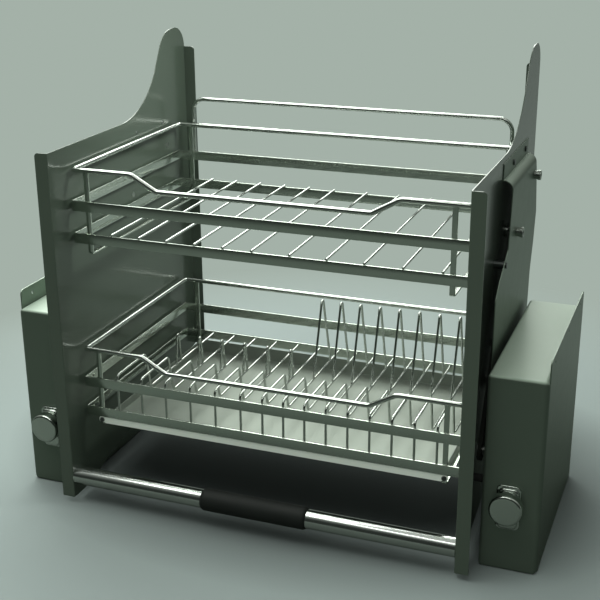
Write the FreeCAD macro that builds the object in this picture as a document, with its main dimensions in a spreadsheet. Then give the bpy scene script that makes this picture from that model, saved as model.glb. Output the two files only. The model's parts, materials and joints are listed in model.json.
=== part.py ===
import FreeCAD, Part
import math
import os
import Sketcher

# Pull-down dish rack for a wall cupboard.
# Two wall boxes hold the lower shafts of four swing arms. The arms carry a frame of two folded
# side panels with two wire baskets, a drip tray and a handle. Springs in the boxes help the lift.
#
# The pieces are drawn with x = 0 in the middle, y = 0 on the face of the front flanges (y runs
# to the back) and z = 0 at the panels' lower front corner. Each finished piece is then placed so
# that the origin lies in the middle of the whole rack, on the surface that the boxes stand on.

SIZES = {
    # across the rack, from the cupboard's side inwards
    "wall_half": 432.0,
    "box_wide": 87.4,
    "arm_clear": 12.6,
    "panel_gap": 4.5,
    "bracket_gap": 6.0,
    "band_gap": 4.0,
    # folded side panels
    "sheet": 1.5,
    "panel_depth": 470.0,
    "panel_front": 578.0,
    "panel_toe": 36.0,
    "panel_heel": 96.0,
    "flange": 20.0,
    "flange_round": 6.0,
    "fold_round": 2.0,
    "curve_back": 245.0,
    "curve_radius": 155.0,
    "curve_turn": 60.0,
    "curve_rise": 35.0,
    "peak_radius": 50.0,
    "peak_slope": 2.0,
    "rear_radius": 37.0,
    # baskets
    "basket_front": 50.0,
    "basket_depth": 373.0,
    "band_tall": 16.5,
    "band_thick": 2.5,
    "band_round": 3.0,
    "band_step": 51.9,
    "upper_band_low": 426.1,
    "lower_band_low": 129.7,
    "rim_radius": 4.0,
    "rim_inset": 4.0,
    "rim_bend": 6.0,
    "upper_rim_rise": 116.4,
    "lower_rim_rise": 116.1,
    "dip_inset": 105.0,
    "dip_run": 42.0,
    "dip_drop": 23.5,
    "dip_bend": 16.0,
    "strap_inset": 28.0,
    "strap_wide": 8.0,
    "strap_thick": 3.0,
    "strap_drop": 17.0,
    "strap_bend": 2.0,
    "wire_radius": 2.0,
    "wire_bend": 8.0,
    # floor wires of the upper basket, in two groups
    "floor_left_wires": 6,
    "floor_left_inset": 67.0,
    "floor_left_end": -15.0,
    "floor_right_wires": 5,
    "floor_right_start": 45.0,
    "floor_right_inset": 41.8,
    # plate rack, in two groups
    "plate_left_wires": 6,
    "plate_left_inset": 59.1,
    "plate_left_end": -40.4,
    "plate_right_wires": 9,
    "plate_right_start": -3.6,
    "plate_right_inset": 41.2,
    "plate_top": 77.3,
    "plate_shelf": 100.0,
    "plate_slant": 13.5,
    "floor_sink": 4.0,
    "tine_start": 235.0,
    "tine_apex": 281.0,
    "tine_foot": 322.0,
    "tine_top": 153.3,
    "tine_bend": 5.0,
    "hump_start": 213.0,
    "hump_apex": 222.0,
    "hump_foot": 231.0,
    "hump_top": 87.8,
    "hump_bend": 3.0,
    # drip tray
    "tray_gap": 0.5,
    "tray_sheet": 1.0,
    "tray_top_gap": 0.4,
    "tray_front_deep": 11.3,
    "tray_rear_fall": 3.3,
    "tray_rear_deep": 25.0,
    "tray_ear": 10.0,
    "ear_round": 4.5,
    "ear_past": 6.0,
    "ear_drop": 6.0,
    "tray_screw_drop": 4.9,
    "tray_screw_head": 4.0,
    # rear hoop
    "hoop_inset": 27.0,
    "hoop_rise": 44.5,
    "hoop_gap": 12.0,
    "hoop_radius": 3.5,
    "hoop_bend": 22.0,
    "hoop_foot_bend": 8.0,
    # handle
    "handle_back": 14.0,
    "handle_height": 35.0,
    "handle_radius": 15.0,
    "handle_wall": 1.5,
    "plug_long": 20.0,
    "grip_long": 177.0,
    "grip_shift": -2.5,
    "grip_wall": 3.0,
    "grip_round": 2.5,
    # basket and handle screws
    "basket_screw_inset": 24.5,
    "basket_screw_radius": 2.5,
    "basket_screw_head": 4.5,
    "low_head": 2.4,
    "handle_screw_radius": 3.0,
    "handle_screw_head": 5.5,
    # swing arms
    "front_shaft_back": 110.0,
    "front_shaft_height": 150.0,
    "shaft_step_back": 132.0,
    "shaft_step_up": 58.0,
    "pivot_drop": 18.0,
    "arm_back": 145.0,
    "arm_half": 16.0,
    "arm_thick": 6.0,
    "arm_bead_half": 5.0,
    "arm_bead": 1.2,
    "arm_bead_inset": 34.0,
    "shaft_radius": 7.0,
    "shaft_flange": 11.0,
    "shaft_flange_thick": 2.0,
    "shaft_collar": 9.0,
    "shaft_collar_thick": 2.0,
    "bolt_radius": 5.0,
    "bush_wall": 2.5,
    "bush_flange": 3.0,
    "bush_flange_thick": 1.0,
    # pivot brackets
    "bracket_top_gap": 11.0,
    "bracket_flange": 39.0,
    "bracket_front_over": 50.0,
    "bracket_back_over": 10.0,
    "bracket_neck_back": 17.0,
    "bracket_neck_up": 17.0,
    "bracket_nose_front": 36.0,
    "bracket_nose_down": 15.0,
    "bracket_toe_front": 60.0,
    "bracket_toe_down": 37.0,
    "bracket_low": 275.0,
    "bracket_back": 394.0,
    "bracket_heel_back": 4.0,
    "bracket_heel_up": 70.0,
    "bulge_low_back": 27.0,
    "bulge_low_down": 118.0,
    "bulge_back": 37.0,
    "bulge_down": 69.0,
    "bulge_top_back": 17.0,
    "bulge_top_up": 3.0,
    "bracket_round": 8.0,
    "spacer_back": 175.0,
    "spacer_height": 423.0,
    "spacer_radius": 6.0,
    "spacer_bore": 3.0,
    "nut_radius": 9.0,
    "bolt_sleeve": 7.0,
    "bolt_sleeve_long": 5.0,
    "bolt_head": 8.0,
    "bolt_head_thick": 5.0,
    "bolt_socket": 8.0,
    "bolt_socket_deep": 2.0,
    "bracket_screw_radius": 2.5,
    "bracket_screw_head": 4.5,
    "bracket_screw_drop": 13.0,
    "bracket_screw_front": 277.0,
    "bracket_screw_rear": 373.0,
    # wall boxes
    "stand": 12.0,
    "wall_plate": 2.0,
    "box_front": 51.0,
    "box_back": 381.0,
    "box_top": 300.0,
    "box_wall": 2.0,
    "box_round": 5.0,
    "box_fold": 8.0,
    "plate_inset": 9.0,
    "plate_rise": 29.5,
    "plate_round": 8.0,
    "mount_hole_count": 3,
    "mount_hole_radius": 2.75,
    "mount_hole_drop": 13.5,
    "mount_hole_inset": 41.0,
    # works inside the boxes
    "works_shift": 3.3,
    "bearing_sheet": 3.0,
    "bearing_front_gap": 11.0,
    "bearing_back_gap": 76.0,
    "bearing_low": 60.0,
    "bearing_top_gap": 25.0,
    "bearing_round": 12.0,
    "bearing_bush": 10.0,
    "bearing_bush_long": 6.0,
    "pillar_radius": 5.0,
    "pillar_inset": 13.0,
    "pillar_step": 43.0,
    "cover_screw_radius": 2.0,
    "cover_screw_head": 4.0,
    "cover_screw_deep": 16.0,
    "cover_screw_proud": 1.2,
    "buffer_radius": 6.0,
    "buffer_along_rest": 60.0,
    "buffer_along_down": 40.0,
    "swing": 122.0,
    "gear_module": 2.0,
    "gear_teeth": 24,
    "gear_wide": 10.0,
    "pressure_angle": 20.0,
    "rack_back_play": 0.3,
    "rack_front_gap": 4.5,
    "rack_teeth_back": 12.0,
    "rack_bar": 9.5,
    "rack_tail_gap": 76.0,
    "cross_thick": 6.0,
    "cross_clear": 6.4,
    "cross_drop": 11.0,
    "screw_drop": 11.0,
    "screw_radius": 4.0,
    "spring_edge": 10.0,
    "spring_radius": 10.5,
    "spring_wire": 2.5,
    "carriage_gap": 33.0,
    "carriage_thick": 8.0,
    "carriage_low": 8.0,
    "carriage_tall": 15.0,
    "support_first": 122.0,
    "support_last": 192.0,
    "support_deep": 12.0,
    "support_drop": 25.0,
    "support_web_tall": 10.0,
    # knobs
    "knob_front": 22.0,
    "knob_radius": 24.5,
    "knob_thick": 20.0,
    "knob_round": 5.0,
    "knob_neck": 7.0,
    "plaque_wide": 36.0,
    "plaque_tall": 72.0,
    "plaque_drop": 7.0,
    "plaque_thick": 4.0,
    "plaque_round": 8.0,
    "plaque_step": 3.0,
    "plaque_boss": 4.0,
    # fits and joins
    "run_fit": 0.05,
    "seat_fit": 0.02,
    "side_play": 0.3,
    "hole_fit": 0.25,
    "weld_bite": 0.2,
}

# how far a drill starts before a face and ends past it
DRILL_PAST = 1.0

# height of a gear tooth over and under the pitch line, in modules
TOOTH_TIP = 0.9
TOOTH_ROOT = 1.25

doc = FreeCAD.newDocument("dish_rack")
sheet = doc.addObject("Spreadsheet::Sheet", "sizes")
for row, (alias, value) in enumerate(SIZES.items(), 1):
    sheet.set("A%d" % row, str(value))
    sheet.setAlias("A%d" % row, alias)
doc.recompute()


class Size:
    """A number together with the sheet expression that it comes from."""

    def __init__(self, number, words):
        self.number = number
        self.words = words

    def __add__(self, other):
        return Size(self.number + number(other), "(%s + %s)" % (self.words, words(other)))

    __radd__ = __add__

    def __neg__(self):
        return Size(-self.number, "(0 - %s)" % self.words)

    def __sub__(self, other):
        return Size(self.number - number(other), "(%s - %s)" % (self.words, words(other)))

    def __rsub__(self, other):
        return Size(number(other) - self.number, "(%s - %s)" % (words(other), self.words))

    def __mul__(self, other):
        return Size(self.number * number(other), "(%s * %s)" % (self.words, words(other)))

    __rmul__ = __mul__

    def __truediv__(self, other):
        return Size(self.number / number(other), "(%s / %s)" % (self.words, words(other)))


class Sheet:
    """Reads the sheet: s.panel_depth is the size with that alias."""

    def __getattr__(self, alias):
        return Size(float(sheet.get(alias)), "sizes." + alias)


s = Sheet()


def number(value):
    return value.number if isinstance(value, Size) else float(value)


def words(value):
    return value.words if isinstance(value, Size) else "(%r)" % float(value)


def sine(angle):
    return Size(math.sin(math.radians(number(angle))), "sin(%s * 1 deg)" % words(angle))


def cosine(angle):
    return Size(math.cos(math.radians(number(angle))), "cos(%s * 1 deg)" % words(angle))


def root(value):
    return Size(math.sqrt(number(value)), "sqrt(%s)" % words(value))


def point(place):
    return FreeCAD.Vector(*[number(value) for value in place])


TURNS = {
    "x": FreeCAD.Rotation(FreeCAD.Vector(0, 1, 0), 90),
    "y": FreeCAD.Rotation(FreeCAD.Vector(1, 0, 0), -90),
    "z": FreeCAD.Rotation(),
}


def put(piece, at, along="z"):
    """Places a piece, with its own Z turned along the named axis."""
    piece.Placement = FreeCAD.Placement(point(at), TURNS[along])
    for axis, value in zip("xyz", at):
        piece.setExpression("Placement.Base." + axis, words(value))
    return piece


# Primitives and booleans


def block(wide, deep, tall, at):
    piece = doc.addObject("Part::Box", "block")
    piece.setExpression("Length", words(wide))
    piece.setExpression("Width", words(deep))
    piece.setExpression("Height", words(tall))
    return put(piece, at)


def rod(radius, long, at, along):
    piece = doc.addObject("Part::Cylinder", "rod")
    piece.setExpression("Radius", words(radius))
    piece.setExpression("Height", words(long))
    return put(piece, at, along)


def fuse(pieces):
    whole = doc.addObject("Part::MultiFuse", "fuse")
    whole.Shapes = pieces
    return whole


def cut(base, tools):
    rest = doc.addObject("Part::Cut", "cut")
    rest.Base = base
    rest.Tool = fuse(tools) if len(tools) > 1 else tools[0]
    return rest


def moved(at, along, step):
    """The point a step further along an axis."""
    return tuple(value + step if axis == along else value for axis, value in zip("xyz", at))


def turned(steps, at, along, bore=None):
    """Turned piece: each step is its radius and length; the bore goes through them all."""
    rods = []
    spot = at
    for radius, long in steps:
        rods.append(rod(radius, long, spot, along))
        spot = moved(spot, along, long)
    piece = fuse(rods) if len(rods) > 1 else rods[0]
    if bore is None:
        return piece
    total = sum(number(long) for radius, long in steps)
    drill_at = moved(at, along, -DRILL_PAST)
    return cut(piece, [rod(bore, total + 2 * DRILL_PAST, drill_at, along)])


def mirrored(piece):
    other = doc.addObject("Part::Mirroring", "mirror")
    other.Source = piece
    other.Normal = FreeCAD.Vector(1, 0, 0)
    return other


# Sketched bodies

ROLES = {"yz": "YZ_Plane", "xz": "XZ_Plane", "xy": "XY_Plane"}


def new_body(name):
    body = doc.addObject("PartDesign::Body", name)
    doc.recompute()
    return body


def arc_between(start, end, radius, side):
    """Arc from start to end, with its centre on the left (side 1) or the right (side -1)."""
    chord = end - start
    left = FreeCAD.Vector(-chord.y, chord.x, 0).normalize()
    rise = math.sqrt(max(radius * radius - chord.Length ** 2 / 4, 0))
    centre = (start + end) / 2 + left * rise * side
    first, last = (start, end) if side > 0 else (end, start)
    angles = [math.atan2(spot.y - centre.y, spot.x - centre.x) for spot in (first, last)]
    return Part.ArcOfCircle(Part.Circle(centre, FreeCAD.Vector(0, 0, 1), radius), *angles)


def fix(sketch, kind, geometry, spot, value):
    """Adds a constraint and ties it to the sheet."""
    if spot is None:
        index = sketch.addConstraint(Sketcher.Constraint(kind, geometry, number(value)))
    else:
        index = sketch.addConstraint(Sketcher.Constraint(kind, -1, 1, geometry, spot, number(value)))
    sketch.setExpression("Constraints[%d]" % index, words(value))


def draw_outline(sketch, corners):
    """Closed outline. A corner is (u, v), or (u, v, radius, side) where an arc leaves it."""
    ends = []
    for corner, following in zip(corners, corners[1:] + corners[:1]):
        start = FreeCAD.Vector(number(corner[0]), number(corner[1]), 0)
        end = FreeCAD.Vector(number(following[0]), number(following[1]), 0)
        if len(corner) == 2:
            index = sketch.addGeometry(Part.LineSegment(start, end), False)
            ends.append((index, 1, 2))
            continue
        curve = arc_between(start, end, number(corner[2]), corner[3])
        index = sketch.addGeometry(curve, False)
        ends.append((index, 1, 2) if corner[3] > 0 else (index, 2, 1))
        fix(sketch, "Radius", index, None, corner[2])
    for edge, (index, first, last) in enumerate(ends):
        following = ends[(edge + 1) % len(ends)]
        sketch.addConstraint(Sketcher.Constraint("Coincident", index, last, following[0], following[1]))
        fix(sketch, "DistanceX", index, first, corners[edge][0])
        fix(sketch, "DistanceY", index, first, corners[edge][1])


def draw_circle(sketch, hole):
    """Circle from its centre (u, v) and its radius."""
    centre = FreeCAD.Vector(number(hole[0]), number(hole[1]), 0)
    circle = Part.Circle(centre, FreeCAD.Vector(0, 0, 1), number(hole[2]))
    index = sketch.addGeometry(circle, False)
    fix(sketch, "Radius", index, None, hole[2])
    fix(sketch, "DistanceX", index, 3, hole[0])
    fix(sketch, "DistanceY", index, 3, hole[1])


def draw(body, plane, start, depth, outlines, holes):
    """Sketch on one of the body's planes, set so that a pad of that depth begins at start."""
    sketch = body.newObject("Sketcher::SketchObject", body.Name + "_sketch")
    support = [item for item in body.Origin.OriginFeatures if item.Role == ROLES[plane]][0]
    sketch.AttachmentSupport = [(support, "")]
    sketch.MapMode = "FlatFace"
    lift = -(start + depth) if plane == "xz" else start
    sketch.AttachmentOffset = FreeCAD.Placement(FreeCAD.Vector(0, 0, number(lift)), FreeCAD.Rotation())
    sketch.setExpression("AttachmentOffset.Base.z", words(lift))
    for corners in outlines:
        draw_outline(sketch, corners)
    for hole in holes:
        draw_circle(sketch, hole)
    return sketch


def pad(body, plane, start, depth, outlines, holes=()):
    """Pads the outlines, less the round holes, from start towards the plane's plus side."""
    sketch = draw(body, plane, start, depth, outlines, holes)
    feature = body.newObject("PartDesign::Pad", body.Name + "_pad")
    feature.Profile = sketch
    feature.setExpression("Length", words(depth))
    doc.recompute()
    return feature


def pocket(body, plane, start, depth, outlines, holes=()):
    """Cuts the outlines out, from start towards the plane's plus side."""
    before = body.Shape.Volume
    sketch = draw(body, plane, start, depth, outlines, holes)
    feature = body.newObject("PartDesign::Pocket", body.Name + "_pocket")
    feature.Profile = sketch
    feature.Reversed = True
    feature.setExpression("Length", words(depth))
    doc.recompute()
    if not feature.Shape.Volume < before:
        raise ValueError("pocket of %s cuts nothing" % body.Name)
    return feature


def edge_names(shape, along, spots):
    """Names of the straight edges that run along an axis through spots in the other two axes."""
    line = "xyz".index(along)
    names = []
    for index, edge in enumerate(shape.Edges, 1):
        ends = [vertex.Point for vertex in edge.Vertexes]
        if len(ends) != 2:
            continue
        step = ends[1] - ends[0]
        if abs(abs(step[line]) - edge.Length) > 0.001:
            continue
        place = [ends[0][axis] for axis in range(3) if axis != line]
        if any(math.dist(place, [number(value) for value in spot]) < 0.01 for spot in spots):
            names.append("Edge%d" % index)
    return names


def round_edges(body, along, spots, radius):
    """Rounds the body's edges that run along an axis through the given spots."""
    names = edge_names(body.Tip.Shape, along, spots)
    if not names:
        raise ValueError("no edge to round on %s" % body.Name)
    feature = body.newObject("PartDesign::Fillet", body.Name + "_round")
    feature.Base = (body.Tip if body.Tip is not feature else feature.BaseFeature, names)
    feature.setExpression("Radius", words(radius))
    doc.recompute()
    return feature


# Bent rods: straight runs joined by tangent arcs, swept with a round section


def bent_path(points, bends):
    """Wire through the points, with each inner corner rounded to its bend radius."""
    edges = []
    last = points[0]
    for before, corner, after, bend in zip(points, points[1:], points[2:], bends):
        inward = (corner - before).normalize()
        outward = (after - corner).normalize()
        turn = inward.getAngle(outward)
        reach = bend * math.tan(turn / 2)
        start = corner - inward * reach
        end = corner + outward * reach
        middle_way = (outward - inward).normalize()
        middle = corner + middle_way * (bend / math.cos(turn / 2) - bend)
        if (start - last).Length > 1e-6:
            edges.append(Part.LineSegment(last, start).toShape())
        edges.append(Part.Arc(start, middle, end).toShape())
        last = end
    edges.append(Part.LineSegment(last, points[-1]).toShape())
    return Part.Wire(edges)


def bent_solid(points, radius, bends):
    """Round rod along a bent path, checked against its section times its length."""
    if not isinstance(bends, (list, tuple)):
        bends = [bends] * (len(points) - 2)
    path = bent_path(points, bends)
    way = (points[1] - points[0]).normalize()
    ring = Part.Wire([Part.Circle(points[0], way, radius).toShape()])
    solid = path.makePipeShell([ring], True, False)
    expected = math.pi * radius ** 2 * path.Length
    if not solid.isValid() or abs(solid.Volume - expected) > 0.02 * expected:
        raise ValueError("bent rod went wrong")
    return solid


def shaped(name, shape):
    """Holds a shape that neither sketches nor primitives draw well."""
    piece = doc.addObject("Part::Feature", name)
    piece.Shape = shape
    return piece


# Placing and keeping the finished pieces

grip_front = s.handle_back - s.handle_radius - s.grip_wall
rack_middle = (s.panel_depth + grip_front) / 2
nodes = {}


def keep(name, pieces):
    """Makes one named sub-part of its solids and sets it in the rack's own frame."""
    node = doc.addObject("Part::Compound", name)
    node.Label = name
    node.Links = pieces
    node.setExpression("Placement.Base.y", words(-rack_middle))
    node.setExpression("Placement.Base.z", words(s.stand))
    nodes[name] = node


def keep_pair(name, pieces):
    """Keeps a right-hand sub-part and its mirror image on the left."""
    keep("right_" + name, pieces)
    other = mirrored(nodes["right_" + name])
    other.Label = "left_" + name
    nodes["left_" + name] = other


def keep_both(name, pieces):
    """Keeps one sub-part that holds the same solids on the right and on the left."""
    keep(name, pieces + [mirrored(piece) for piece in pieces])


# Places that several pieces share, first across the rack from the wall inwards

box_inner = s.wall_half - s.box_wide
wall_start = s.wall_half - s.wall_plate
bearing_start = box_inner + s.box_wall
bearing_end = bearing_start + s.bearing_sheet
arm_end = box_inner - s.arm_clear
arm_start = arm_end - s.arm_thick
bracket_half = arm_end + s.bracket_gap
panel_outer = arm_start - s.panel_gap
inner_half = panel_outer - s.sheet
band_half = inner_half - s.band_gap
rim_half = band_half - s.rim_inset
dip_outer = band_half - s.dip_inset
dip_inner = dip_outer - s.dip_run
strap_place = band_half - s.strap_inset
tray_half = strap_place - s.strap_wide / 2 - s.tray_gap
ear_reach = strap_place + s.ear_past
hoop_half = band_half - s.hoop_inset

# heights and depths of the brackets and the swing arms

bracket_flange_top = s.panel_front - s.bracket_top_gap
bracket_shoulder = bracket_flange_top - s.bracket_flange
bracket_screw_height = bracket_flange_top - s.bracket_screw_drop
arm_rise = bracket_shoulder - s.pivot_drop - s.front_shaft_height - s.shaft_step_up
front_shaft = (s.front_shaft_back, s.front_shaft_height)
rear_shaft = (s.front_shaft_back + s.shaft_step_back, s.front_shaft_height + s.shaft_step_up)
front_pivot = (front_shaft[0] + s.arm_back, front_shaft[1] + arm_rise)
rear_pivot = (rear_shaft[0] + s.arm_back, rear_shaft[1] + arm_rise)
shafts = {"front": front_shaft, "rear": rear_shaft}
pivots = {"front": front_pivot, "rear": rear_pivot}

# heights and depths of the baskets and the tray

basket_back = s.basket_front + s.basket_depth
band_inside = s.basket_front + s.band_thick
band_lows = {
    "upper": (s.upper_band_low, s.upper_band_low + s.band_step),
    "lower": (s.lower_band_low, s.lower_band_low + s.band_step),
}
rim_heights = {
    "upper": s.upper_band_low + s.upper_rim_rise,
    "lower": s.lower_band_low + s.lower_rim_rise,
}
tray_front_top = s.lower_band_low - s.tray_top_gap
tray_front_low = tray_front_top - s.tray_front_deep
tray_rear_top = tray_front_top - s.tray_rear_fall
tray_rear_low = tray_rear_top - s.tray_rear_deep
tray_rear_ear = tray_rear_top - s.ear_drop
tray_screw_height = tray_front_top - s.tray_screw_drop
hoop_back = basket_back + s.hoop_gap
hoop_top = rim_heights["upper"] + s.hoop_rise

# centres of screws, spacers and bushes in the side view

basket_screw_spots = [
    (along, low + s.band_tall / 2)
    for low in band_lows["upper"] + band_lows["lower"]
    for along in (s.basket_front + s.basket_screw_inset, basket_back - s.basket_screw_inset)
]
bracket_screw_spots = [
    (s.bracket_screw_front, bracket_screw_height),
    (s.bracket_screw_rear, bracket_screw_height),
]
spacer_spot = (s.spacer_back, s.spacer_height)
handle_spot = (s.handle_back, s.handle_height)
bush_radius = s.bolt_radius + s.run_fit + s.bush_wall
bearing_front = s.box_front + s.bearing_front_gap
bearing_back = s.box_back - s.bearing_back_gap
bearing_top = s.box_top - s.bearing_top_gap
pillar_spots = [
    (bearing_front + s.pillar_inset, bearing_top - s.pillar_inset),
    (bearing_back - s.pillar_step, bearing_top - s.pillar_inset),
    (bearing_front + s.pillar_inset, s.bearing_low + s.pillar_inset),
    (bearing_back - s.pillar_inset, s.bearing_low + s.pillar_inset),
]


def buffer_spot(shaft, swing, along, side):
    """Centre of a rubber buffer that just touches an arm swung by that many degrees."""
    long = root(s.arm_back * s.arm_back + arm_rise * arm_rise)
    back = (s.arm_back * cosine(swing) - arm_rise * sine(swing)) / long
    rise = (s.arm_back * sine(swing) + arm_rise * cosine(swing)) / long
    off = (s.arm_half + s.buffer_radius + s.run_fit) * side
    return (shaft[0] + back * along + rise * off, shaft[1] + rise * along - back * off)


buffer_spots = [
    buffer_spot(rear_shaft, 0 * s.swing, s.buffer_along_rest, 1),
    buffer_spot(front_shaft, s.swing, s.buffer_along_down, -1),
]


def holes_at(spots, radius):
    return [(spot[0], spot[1], radius) for spot in spots]


# Side panels and what is screwed to them


def panel_outline():
    """Side view of the panel: a low front, a hollow curve and a high rounded rear corner."""
    curve_start = s.panel_depth - s.curve_back
    bend_end = curve_start + s.curve_radius * sine(s.curve_turn)
    bend_top = s.panel_front + s.curve_radius * (1 - cosine(s.curve_turn))
    rise_end = bend_end + s.curve_rise * cosine(s.curve_turn)
    rise_top = bend_top + s.curve_rise * sine(s.curve_turn)
    peak_end = rise_end + s.peak_radius * (sine(s.curve_turn) - sine(s.peak_slope))
    peak_top = rise_top + s.peak_radius * (cosine(s.peak_slope) - cosine(s.curve_turn))
    round_start = s.panel_depth - s.rear_radius * (1 + sine(s.peak_slope))
    round_top = peak_top + (round_start - peak_end) * sine(s.peak_slope) / cosine(s.peak_slope)
    round_end = round_top - s.rear_radius * cosine(s.peak_slope)
    return [
        (0, 0),
        (s.panel_toe, 0),
        (s.panel_depth, s.panel_heel),
        (s.panel_depth, round_end, s.rear_radius, 1),
        (round_start, round_top),
        (peak_end, peak_top, s.peak_radius, 1),
        (rise_end, rise_top),
        (bend_end, bend_top, s.curve_radius, -1),
        (curve_start, s.panel_front),
        (0, s.panel_front),
    ], round_end


def side_panel():
    """Folded sheet: the front edge turns outwards and the rear edge turns inwards."""
    outline, rear_top = panel_outline()
    holes = holes_at(basket_screw_spots, s.basket_screw_radius + s.hole_fit)
    holes += holes_at(bracket_screw_spots + [spacer_spot], s.bracket_screw_radius + s.hole_fit)
    holes += holes_at(pivots.values(), s.bolt_radius + s.seat_fit)
    holes += holes_at([handle_spot], s.handle_screw_radius + s.hole_fit)
    body = new_body("side_panel")
    pad(body, "yz", inner_half, s.sheet, [outline], holes)
    flange_end = inner_half + s.sheet + s.flange
    front = [
        (inner_half, 0),
        (flange_end, 0),
        (flange_end, s.panel_front),
        (inner_half, s.panel_front),
    ]
    pad(body, "xz", 0 * s.sheet, s.sheet, [front])
    rear_start = inner_half - s.flange
    rear = [
        (rear_start, s.panel_heel),
        (panel_outer, s.panel_heel),
        (panel_outer, rear_top),
        (rear_start, rear_top),
    ]
    pad(body, "xz", s.panel_depth - s.sheet, s.sheet, [rear])
    round_edges(body, "y", [(flange_end, s.panel_front)], s.flange_round)
    round_edges(body, "y", [(rear_start, rear_top)], s.flange_round)
    round_edges(body, "z", [(inner_half, 0)], s.fold_round)
    return body


def pivot_bracket():
    """Pressed plate that holds the upper pivots from outside, open at the front and below."""
    outer = bracket_half
    inner = bracket_half - s.sheet
    start = panel_outer
    turn = start + s.sheet
    bend = outer - turn
    low = bracket_shoulder
    profile = [
        (inner, low),
        (outer, low, bend, 1),
        (turn, low + bend),
        (turn, bracket_flange_top),
        (start, bracket_flange_top),
        (start, low + bend - s.sheet),
        (turn, low + bend - s.sheet, bend - s.sheet, -1),
    ]
    body = new_body("pivot_bracket")
    shoulder_front = front_pivot[0] - s.bracket_front_over
    shoulder_back = rear_pivot[0] + s.bracket_back_over
    pad(body, "xz", shoulder_front, shoulder_back - shoulder_front, [profile])
    outline = [
        (shoulder_front, low),
        (s.spacer_back + s.bracket_neck_back, s.spacer_height + s.bracket_neck_up),
        (s.spacer_back - s.bracket_nose_front, s.spacer_height - s.bracket_nose_down),
        (s.spacer_back - s.bracket_toe_front, s.spacer_height - s.bracket_toe_down),
        (s.spacer_back - s.bracket_toe_front, s.bracket_low),
        (s.bracket_back, s.bracket_low),
        (s.bracket_back + s.bracket_heel_back, s.bracket_low + s.bracket_heel_up),
        (rear_pivot[0] + s.bulge_low_back, rear_pivot[1] - s.bulge_low_down),
        (rear_pivot[0] + s.bulge_back, rear_pivot[1] - s.bulge_down),
        (rear_pivot[0] + s.bulge_top_back, rear_pivot[1] + s.bulge_top_up),
        (shoulder_back, low),
    ]
    holes = holes_at(pivots.values(), s.bolt_radius + s.seat_fit)
    holes += holes_at([spacer_spot], s.bracket_screw_radius + s.hole_fit)
    pad(body, "yz", inner, s.sheet, [outline], holes)
    round_edges(body, "x", outline[1:-1], s.bracket_round)
    drills = [
        rod(s.bracket_screw_radius + s.hole_fit, s.sheet * 3, (start - s.sheet, *spot), "x")
        for spot in bracket_screw_spots
    ]
    return cut(body, drills)


def pivot_fasteners():
    """Socket bolts with a light sleeve under a dark head, and their thin nuts at the panel."""
    pieces = []
    for spot in pivots.values():
        start = inner_half + s.side_play
        shank = bracket_half - start
        at = (start, *spot)
        steps = [
            (s.bolt_radius, shank),
            (s.bolt_sleeve, s.bolt_sleeve_long),
            (s.bolt_head, s.bolt_head_thick),
        ]
        bolt = turned(steps, at, "x")
        socket = doc.addObject("Part::Prism", "socket")
        socket.Polygon = 6
        socket.setExpression("Circumradius", words(s.bolt_socket / 2))
        socket.setExpression("Height", words(s.bolt_socket_deep + DRILL_PAST))
        face = bracket_half + s.bolt_sleeve_long + s.bolt_head_thick - s.bolt_socket_deep
        put(socket, (face, *spot), "x")
        pieces.append(cut(bolt, [socket]))
        nut_long = arm_start - s.side_play - panel_outer
        nut = turned([(s.nut_radius, nut_long)], (panel_outer, *spot), "x", s.bolt_radius + s.seat_fit)
        pieces.append(nut)
    return pieces


def bracket_spacers():
    """A tube at the front edge and a thin collar at each pivot keep the bracket off the panel."""
    inner = bracket_half - s.sheet
    gap = inner - panel_outer
    tube = turned([(s.spacer_radius, gap)], (panel_outer, *spacer_spot), "x", s.spacer_bore)
    collar_start = arm_end + s.bush_flange_thick + s.side_play
    collars = [
        turned(
            [(bush_radius, inner - collar_start)],
            (collar_start, *spot), "x", s.bolt_radius + s.seat_fit,
        )
        for spot in pivots.values()
    ]
    return [tube] + collars


def bracket_screws():
    """Two low screws through the bracket's top flange, and a long one through the front tube."""
    pieces = []
    for spot in bracket_screw_spots:
        steps = [(s.bracket_screw_radius, s.sheet * 2), (s.bracket_screw_head, s.low_head)]
        pieces.append(turned(steps, (inner_half, *spot), "x"))
    steps = [
        (s.bracket_screw_radius, bracket_half - inner_half),
        (s.bracket_screw_head, s.low_head),
    ]
    pieces.append(turned(steps, (inner_half, *spacer_spot), "x"))
    return pieces


def basket_screws():
    """Shoulder screws: the shoulder holds the flat bars off the panel's inner face."""
    pieces = []
    for spot in basket_screw_spots:
        steps = [
            (s.basket_screw_radius, s.band_thick),
            (s.basket_screw_head, inner_half - band_half),
            (s.basket_screw_radius, s.sheet),
            (s.basket_screw_head, s.low_head),
        ]
        pieces.append(turned(steps, (band_half - s.band_thick, *spot), "x"))
    return pieces


# Baskets


def rectangle(u_low, v_low, u_high, v_high):
    return [(u_low, v_low), (u_high, v_low), (u_high, v_high), (u_low, v_high)]


def corners_of(outline):
    return [(corner[0], corner[1]) for corner in outline]


def band(name, low):
    """Flat bar bent on edge into a loop round the basket, drilled for its screws."""
    inner = band_half - s.band_thick
    outside = rectangle(-band_half, s.basket_front, band_half, basket_back)
    inside = rectangle(-inner, band_inside, inner, basket_back - s.band_thick)
    body = new_body(name)
    pad(body, "xy", low, s.band_tall, [outside, inside])
    round_edges(body, "z", corners_of(outside), s.band_round)
    round_edges(body, "z", corners_of(inside), s.band_round - s.band_thick)
    drills = []
    for along in (s.basket_front + s.basket_screw_inset, basket_back - s.basket_screw_inset):
        at = (-band_half - DRILL_PAST, along, low + s.band_tall / 2)
        long = band_half * 2 + 2 * DRILL_PAST
        drills.append(rod(s.basket_screw_radius + s.seat_fit, long, at, "x"))
    return cut(body, drills)


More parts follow.
